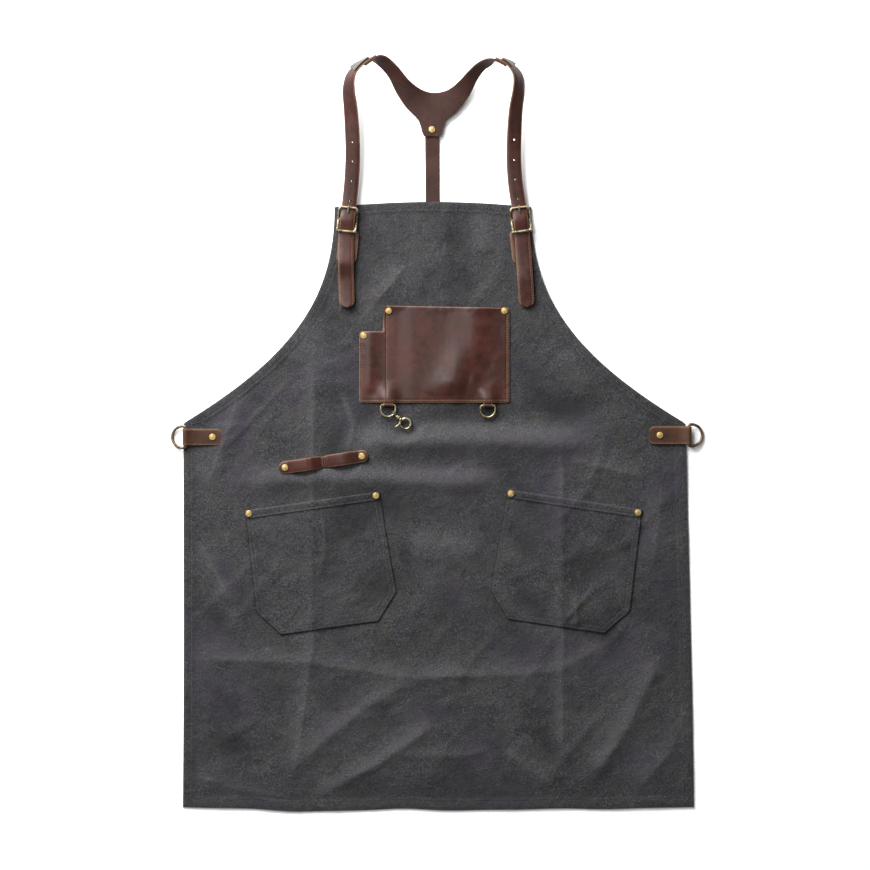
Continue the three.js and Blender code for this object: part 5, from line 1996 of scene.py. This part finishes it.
@dataclass
class DRing:
    """A D-ring with its straight bar along Y at the origin and its bow towards -X."""

    wire: float
    half: float
    reach: float
    corner: float

    def shape(self) -> Shape:
        """The ring as round wire.

        Returns:
            The closed wire.
        """
        straight = self.half - self.corner
        bar = np.column_stack([np.zeros(9), np.linspace(-0.94, 0.94, 9) * straight])
        outline = np.concatenate(
            [
                bar,
                arc(-self.corner, straight, self.corner, 8, 84, 6),
                arc(self.half - self.reach, 0.0, self.half, 90, 270, 40),
                arc(-self.corner, -straight, self.corner, 276, 352, 6),
            ]
        )
        return tube(flat_points(outline), self.wire, 14, closed=True)


@dataclass
class SideRing(Assembly):
    """A D-ring at the hip in its riveted leather tab."""

    side: Side
    tab_end: float
    ring: DRing = field(default_factory=lambda: DRing(2.0, 14.4, 18.8, 2.6))
    tab_width: float = 22.0
    leather: float = 1.6

    def build(self) -> None:
        """Makes the ring and its tab."""
        name = self.side.value
        bar = joint_place(f"side_ring_{name}_hinge")
        facing = turn_z(0.0 if self.side is Side.LEFT else math.pi)
        droop = math.asin((bar[2] - self.ring.wire - GAP) / self.ring.reach)
        ring = self.ring.shape().moved(facing @ turn_y(-droop), bar)
        body = Body(f"side_ring_{name}")
        self.shop.piece(f"side_ring_wire_{name}", ring, Dress.BRONZE, f"side_ring_{name}", body)
        length = abs(self.tab_end - bar[0])
        tab = FoldedTab(self.tab_width, self.leather, length, self.ring.wire, corner=0.3, ease=2.6)
        shape = tab.shape().moved(facing, bar)
        self.shop.piece(f"side_tab_leather_{name}", shape, Dress.WORN, f"side_tab_{name}")


@dataclass
class ChestRing(Assembly):
    """A small D-ring under the chest pocket in its leather fold."""

    side: Side
    tilt: float
    ring: DRing = field(default_factory=lambda: DRing(1.35, 9.75, 15.6, 2.6))
    tab_width: float = 13.0
    leather: float = 1.2
    tab_length: float = 9.0

    def build(self) -> None:
        """Makes the ring and its tab."""
        name = self.side.value
        bar = joint_place(f"chest_ring_{name}_hinge")
        facing = turn_z(math.pi / 2)
        ring = self.ring.shape().moved(facing @ turn_y(math.radians(self.tilt)), bar)
        body = Body(f"chest_ring_{name}")
        self.shop.piece(f"chest_ring_wire_{name}", ring, Dress.ANTIQUE, f"chest_ring_{name}", body)
        tab = FoldedTab(self.tab_width, self.leather, self.tab_length, self.ring.wire, corner=0.2)
        shape = tab.shape().moved(facing, bar)
        self.shop.piece(f"ring_tab_leather_{name}", shape, Dress.LEATHER, f"ring_tab_{name}")


@dataclass
class SnapHook(Assembly):
    """Swivel snap hook that lies on the left chest ring; its own X axis runs from the link to the loop."""

    owner: ChestRing
    link_angle: float = -39.5
    dip: float = -1.0
    eye_radius: float = 3.0
    eye_wire: float = 1.15
    body_from: float = 4.6
    body_to: float = 13.6
    body_radius: float = 3.6
    beads: tuple[tuple[float, float, float], ...] = ((4.6, 6.6, 0.8), (6.7, 9.6, 1.0), (9.7, 13.6, 0.92))
    loop_x: float = 20.4
    loop_radius: float = 6.85
    loop_wire: float = 1.75
    pivot: Pair = (14.6, -4.9)
    thumb: Pair = (12.6, -13.2)
    sharp: float = 40.0

    def place(self, shape: Shape) -> Shape:
        """A shape of the hook moved onto the ring.

        Args:
            shape: The shape about the hook's link.

        Returns:
            The shape where it lies.
        """
        bar = joint_place("chest_ring_left_hinge")
        ring = self.owner.ring
        angle, tilt = math.radians(self.link_angle), math.radians(self.owner.tilt)
        reach = ring.reach - ring.half - ring.half * math.sin(angle)
        link = bar + (ring.half * math.cos(angle), -reach * math.cos(tilt), reach * math.sin(tilt))
        return shape.moved(turn_z(angle) @ turn_y(math.radians(self.dip)), link)

    def body(self) -> Shape:
        """Swivel eye, turned barrel, loop, ear and pin.

        Returns:
            All of them as one shape.
        """
        angle = turns(28)
        lean = math.radians(60.0)
        x, y = self.eye_radius * np.cos(angle), self.eye_radius * np.sin(angle)
        eye = np.column_stack([x, y * math.cos(lean), y * math.sin(lean)])
        r, a, b = self.body_radius, self.body_from, self.body_to
        turned = [(0.0, a - 1.9), (1.3, a - 1.9)]
        for start, end, share in self.beads:
            for u in np.linspace(-1.0, 1.0, 11):
                radius = share * r * (0.55 + 0.45 * math.sqrt(1.0 - u * u))
                turned.append((radius, start + (end - start) * (1 + u) / 2))
        turned.append((0.0, b))
        along_x = np.array([[0.0, 0.0, 1.0], [0.0, 1.0, 0.0], [-1.0, 0.0, 0.0]])
        barrel = lathe(turned, 24).moved(along_x, (0, 0, 0))
        bend = arc(self.loop_x, 0.0, self.loop_radius, 178, -59, 44)
        wire = self.loop_wire * np.interp(np.arange(45), [0, 6, 30, 44], [1.05, 1.15, 1.0, 0.72])
        loop = tube(flat_points(bend), wire, 14)
        ear_line = np.array([(b - 2.0, 0.0, 1.9), (b - 0.6, -2.4, 2.0), (*self.pivot, 2.0)])
        ear = tube(ear_line, [1.7, 1.6, 1.7], 14)
        pin = lathe([(0.0, -1.6), (0.8, -1.6), (0.8, 2.6), (0.5, 2.9), (0.0, 2.9)], 14)
        pin = pin.moved(UNTURNED, (*self.pivot, 0.0))
        flat = np.diag([1.0, 1.0, 0.35])
        ear = Shape((ear.vertices - (0, 0, 2.0)) @ flat + (0, 0, 2.0), ear.faces)
        return Shape.joined([tube(eye, self.eye_wire, 12, closed=True), barrel, loop, ear, pin])

    def lever(self) -> Shape:
        """Boss, gate and thumb piece.

        Returns:
            All of them as one shape.
        """
        boss = lathe([(0.0, -0.9), (1.5, -0.9), (1.8, -0.6), (1.8, 0.6), (1.5, 0.9), (0.0, 0.9)], 20)
        bend = flat_points(arc(self.loop_x, 0.0, self.loop_radius, 229, 287, 18))
        gate = tube(bend, self.loop_wire * np.linspace(0.85, 0.66, 19), 12)
        px, py = self.pivot
        tx, ty = self.thumb
        rows = [(px - 0.2, py - 1.0, 0.0), ((px + tx) / 2, (py + ty) / 2, 0.35)]
        rows += [(tx, ty, 1.0), (tx - 0.25, ty - 0.9, 1.1)]
        line = spline(np.array(rows), np.linspace(0.0, 3.0, 20))
        thumb = tube(line, np.interp(np.arange(20), [0, 10, 16, 19], [1.3, 1.2, 1.7, 1.0]), 12)
        return Shape.joined([boss.moved(UNTURNED, (px, py, 0.0)), gate, thumb])

    def build(self) -> None:
        """Makes the hook and its lever."""
        body, lever = self.place(self.body()), self.place(self.lever())
        self.shop.piece("snap_hook", body, Dress.ANTIQUE, "hook_body", Body.CHEST_RING_LEFT, self.sharp)
        self.shop.piece("snap_hook_lever", lever, Dress.ANTIQUE, "hook_lever", Body.HOOK_LEVER, self.sharp)


@dataclass
class Buckle(Assembly):
    """A buckle with its heel bar in a sewn leather tab, and its prong through the strap."""

    side: Side
    heel_row: int = 6
    bar_y: float = 15.9
    wire: float = 1.6
    heel_wire: float = 1.5
    half: float = 12.1
    corner: float = 4.0
    prong_wire: float = 0.95
    seam_in: float = 2.4
    seam_from: float = 18.0
    seam_corner: float = 11.5
    seam_bend: float = 9.1
    sewing: Sewing = Sewing(3.4, 2.5, 0.7)
    tab: FoldedTab = field(default_factory=lambda: FoldedTab(27.0, 1.8, 58.5, 1.5, 13.0, 11.0, 0.3))

    def frame(self, rise: float) -> Shape:
        """The frame with its heel bar and its keeper bar.

        Args:
            rise: How far its two ends stand above the heel bar.

        Returns:
            The frame about its heel bar.
        """
        k, h, b = self.corner, self.half, self.bar_y
        side_line = np.linspace(b - k, k - b, 21)[1:-1]
        outline = np.concatenate(
            [
                arc(h - k, b - k, k, 0, 90, 8),
                arc(k - h, b - k, k, 90, 180, 8),
                np.column_stack([np.full(19, -h), side_line]),
                arc(k - h, k - b, k, 180, 270, 8),
                arc(h - k, k - b, k, 270, 360, 8),
                np.column_stack([np.full(19, h), -side_line]),
            ]
        )
        climb = np.minimum(1.0, np.abs(outline[:, 1]) / (b - k)) ** 2
        ring = tube(np.column_stack([outline, rise * climb]), self.wire, 14, closed=True)
        bar = tube(np.column_stack([np.linspace(-h, h, 5), np.zeros(5), np.zeros(5)]), self.heel_wire, 14)
        line = np.column_stack([np.linspace(-h - 1.4, h + 1.4, 9), np.full(9, -b), np.full(9, rise)])
        keeper = tube(line, self.wire * np.array([0.8, 1.06, *(1.08,) * 5, 1.06, 0.8]), 14)
        return Shape.joined([ring, bar, keeper])

    def prong(self, rise: float) -> Shape:
        """The prong with its eye round the heel bar.

        Args:
            rise: How far the frame's ends stand above the heel bar.

        Returns:
            The prong about the heel bar.
        """
        angle = turns(20)
        radius = self.heel_wire + GAP + self.prong_wire
        eye = np.column_stack([np.zeros(20), radius * np.cos(angle), radius * np.sin(angle)])
        b, over = self.bar_y, rise + self.wire + GAP + self.prong_wire
        rows = [(0.8, radius), (0.35 * b, 0.55 * over), (0.7 * b, 0.88 * over)]
        rows += [(b, over), (b + 2.6, over - 0.5)]
        shank = spline(np.array([(0.0, y, z) for y, z in rows]), np.linspace(0.0, 4.0, 30))
        taper = np.interp(np.arange(30), [0, 24, 29], [1.25, 1.1, 0.5])
        prong = tube(shank, self.prong_wire * taper, 12)
        return Shape.joined([tube(eye, self.prong_wire, 10, closed=True), prong])

    def tab_seam(self) -> Array:
        """Points of the stitching round the tab's lower end, in the tab's own frame.

        Returns:
            The points.
        """
        inner = self.tab.width / 2 - self.seam_in
        from_end = self.tab.length - self.seam_corner
        offset = self.seam_corner - inner
        lower = arc(from_end, offset, self.seam_bend, 270, 360, 8)
        upper = arc(from_end, -offset, self.seam_bend, 0, 90, 8)
        start = self.seam_from
        line = np.concatenate([[(start, -inner)], lower, upper, [(start, inner)]])
        level = GAP - (self.tab.bar + GAP) + self.tab.leather + 0.05
        return flat_points(resample(line, 1.2), level)

    def build(self) -> None:
        """Makes the frame, the prong and the tab."""
        name = self.side.value
        below, heel, above = STRAP_ROWS[self.side][self.heel_row - 1 : self.heel_row + 2]
        low, high = node_box(f"buckle_{name}")
        level = low[2] + self.wire
        rise = high[2] - self.wire - level
        turn = turn_z(math.atan2(below.x - above.x, above.y - below.y))
        spot = (heel.x, heel.y, level)
        shape = self.frame(rise).moved(turn, spot)
        self.shop.piece(f"buckle_frame_{name}", shape, Dress.ANTIQUE, f"buckle_{name}")
        shape = self.prong(rise).moved(turn, spot)
        self.shop.piece(f"buckle_prong_{name}", shape, Dress.ANTIQUE, f"prong_{name}")
        tab_spot = (heel.x - 3.6 * self.side.sign, heel.y, level)
        tab_turn = turn @ turn_z(-math.pi / 2)
        shape = self.tab.shape().moved(tab_turn, tab_spot)
        self.shop.piece(f"buckle_tab_leather_{name}", shape, Dress.LEATHER, f"buckle_tab_{name}")
        seam = stitches(self.tab_seam() @ tab_turn.T + tab_spot, UP, self.sewing)
        self.shop.piece(f"buckle_tab_stitching_{name}", seam, Dress.TAN_THREAD)


def height_on(carrier: bpy.types.Object, x: float, y: float) -> float:
    """Height of an object's upper face at a plan place, in millimetres.

    Args:
        carrier: The object.
        x: Place along X.
        y: Place along Y.

    Returns:
        The height.
    """
    hit, place, _, _ = carrier.ray_cast(Vector((x * MM, y * MM, 1.0)), Vector((0.0, 0.0, -1.0)))
    if not hit:
        raise ValueError(f"{carrier.name} has no face at {x:.1f}, {y:.1f}")
    return place.z / MM


# Radius and height of a rivet's back cap, and shares of the cap's radius with heights of its dome.
RIVET_BACK = ((0.0, 0.0), (3.2, 0.0), (3.4, 0.3), (3.3, 0.8), (1.4, 0.9))
RIVET_DOME = ((0.93, 0.7), (0.84, 0.92), (0.74, 0.98), (0.66, 0.9), (0.58, 0.98), (0.45, 1.14), (0.22, 1.22))


@dataclass
class Rivets(Assembly):
    """Brass rivets where the part has them, each on the face that carries it."""

    carriers: tuple[str, ...] = (
        *("chest_pocket_leather",) * 3,
        *("pocket_sheet_left",) * 2,
        *("pocket_sheet_right",) * 2,
        "side_tab_leather_left",
        "side_tab_leather_right",
        *("tool_strip_leather",) * 2,
        "yoke_leather",
    )
    cap: float = 4.5
    dome: float = 1.25

    def build(self) -> None:
        """Makes each rivet with its dome, post and back cap."""
        for number, carrier in enumerate(self.carriers, start=1):
            node = f"rivet_{number:02d}"
            low, high = node_box(node)
            middle = (low + high) / 2
            top = height_on(bpy.data.objects[carrier], middle[0], middle[1]) + 0.4
            bottom, r = low[2], self.cap
            profile = [(radius, bottom + height) for radius, height in RIVET_BACK]
            profile += [(1.4, top - 0.8), (r - 0.1, top - 0.8), (r, top - 0.1), (r - 0.1, top + 0.35)]
            profile += [(share * r, top + height) for share, height in RIVET_DOME]
            profile.append((0.0, top + self.dome))
            shape = lathe(profile, 36).moved(UNTURNED, (middle[0], middle[1], 0.0))
            self.shop.piece(f"rivet_dome_{number:02d}", shape, Dress.BRASS, node, sharp=60.0)


class Softbox(NamedTuple):
    """A rectangular light: where it stands and points in metres, its two sides and its power in watts."""

    name: str
    place: Place
    target: Place
    size: Pair
    watts: float

    def build(self) -> None:
        """Makes the light."""
        light = bpy.data.lights.new(self.name, "AREA")
        light.shape = "RECTANGLE"
        light.size, light.size_y = self.size
        light.energy = self.watts
        lamp = linked(self.name, light)
        lamp.location = self.place
        aim = Vector(self.target) - Vector(self.place)
        lamp.rotation_euler = aim.to_track_quat("-Z", "Y").to_euler()
        lamp.visible_camera = False


@dataclass
class Studio:
    """Pale floor, soft light and the camera straight above."""

    frame_width: float = 1160.0
    camera_height: float = 5.0
    aim: Pair = (-3.0, -0.7)
    floor_size: float = 8.0
    floor_level: float = -0.0004
    floor_colour: tuple[float, ...] = (0.93, 0.93, 0.935, 1.0)
    sky_colour: tuple[float, ...] = (1.0, 1.0, 1.0, 1.0)
    sky_strength: float = 0.25
    lights: tuple[Softbox, ...] = (
        Softbox("key_softbox", (-0.95, 1.52, 1.1), (0.05, -0.05, 0.0), (1.4, 1.4), 150.0),
        Softbox("streak_softbox", (-0.75, 0.62, 2.3), (0.0, 0.1, 0.0), (0.35, 0.7), 22.0),
    )

    def floor(self) -> None:
        """A plain pale floor."""
        half = self.floor_size / 2
        mesh = bpy.data.meshes.new("floor")
        corners = [(-half, -half), (half, -half), (half, half), (-half, half)]
        mesh.from_pydata([(x, y, self.floor_level) for x, y in corners], [], [(0, 1, 2, 3)])
        material = bpy.data.materials.new("pale_floor")
        material.use_nodes = True
        shader = material.node_tree.nodes["Principled BSDF"]
        look = {"Base Color": self.floor_colour, "Roughness": 0.9, "Specular IOR Level": 0.1}
        Graph(material.node_tree).feed(shader, look)
        mesh.materials.append(material)
        linked("floor", mesh)

    def build(self) -> None:
        """Makes the floor, the lights and the camera."""
        self.floor()
        scene = bpy.context.scene
        scene.view_settings.view_transform = "Standard"
        world = bpy.data.worlds.new("studio")
        world.use_nodes = True
        sky = {"Color": self.sky_colour, "Strength": self.sky_strength}
        Graph(world.node_tree).feed(world.node_tree.nodes["Background"], sky)
        scene.world = world
        for light in self.lights:
            light.build()
        lens = bpy.data.cameras.new("camera")
        lens.sensor_fit = "HORIZONTAL"
        lens.angle = 2 * math.atan(self.frame_width * MM / 2 / self.camera_height)
        lens.clip_end = 50.0
        scene.camera = linked("camera", lens)
        scene.camera.location = (self.aim[0] * MM, self.aim[1] * MM, self.camera_height)


def main() -> None:
    """Builds every sub-assembly in order."""
    logging.basicConfig(level=logging.INFO, format="%(name)s: %(message)s")
    Studio().build()
    shop = Workshop()
    shop.stock()
    canvas = Canvas(shop)
    left_ring = ChestRing(shop, Side.LEFT, 2.0)
    assemblies = (
        canvas,
        PatchPocket(shop, canvas, Side.LEFT, -167.0, -88.5, 8.0, POCKET_CREASES[Side.LEFT]),
        PatchPocket(shop, canvas, Side.RIGHT, 183.5, -86.5, -8.5, POCKET_CREASES[Side.RIGHT]),
        ChestPocket(shop, canvas),
        ToolStrip(shop, canvas),
        Strap(shop, Side.LEFT, (14.0, 15.5), 16.05),
        Strap(shop, Side.RIGHT, (14.5, 15.5), 15.97),
        Yoke(shop),
        BackStrap(shop),
        *(Buckle(shop, side) for side in Side),
        SideRing(shop, Side.LEFT, -286.5),
        SideRing(shop, Side.RIGHT, 282.3, tab_width=24.0),
        left_ring,
        ChestRing(shop, Side.RIGHT, -6.0),
        SnapHook(shop, left_ring),
        Rivets(shop),
    )
    for assembly in assemblies:
        assembly.build()
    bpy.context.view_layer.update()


if __name__ == "__main__":
    main()
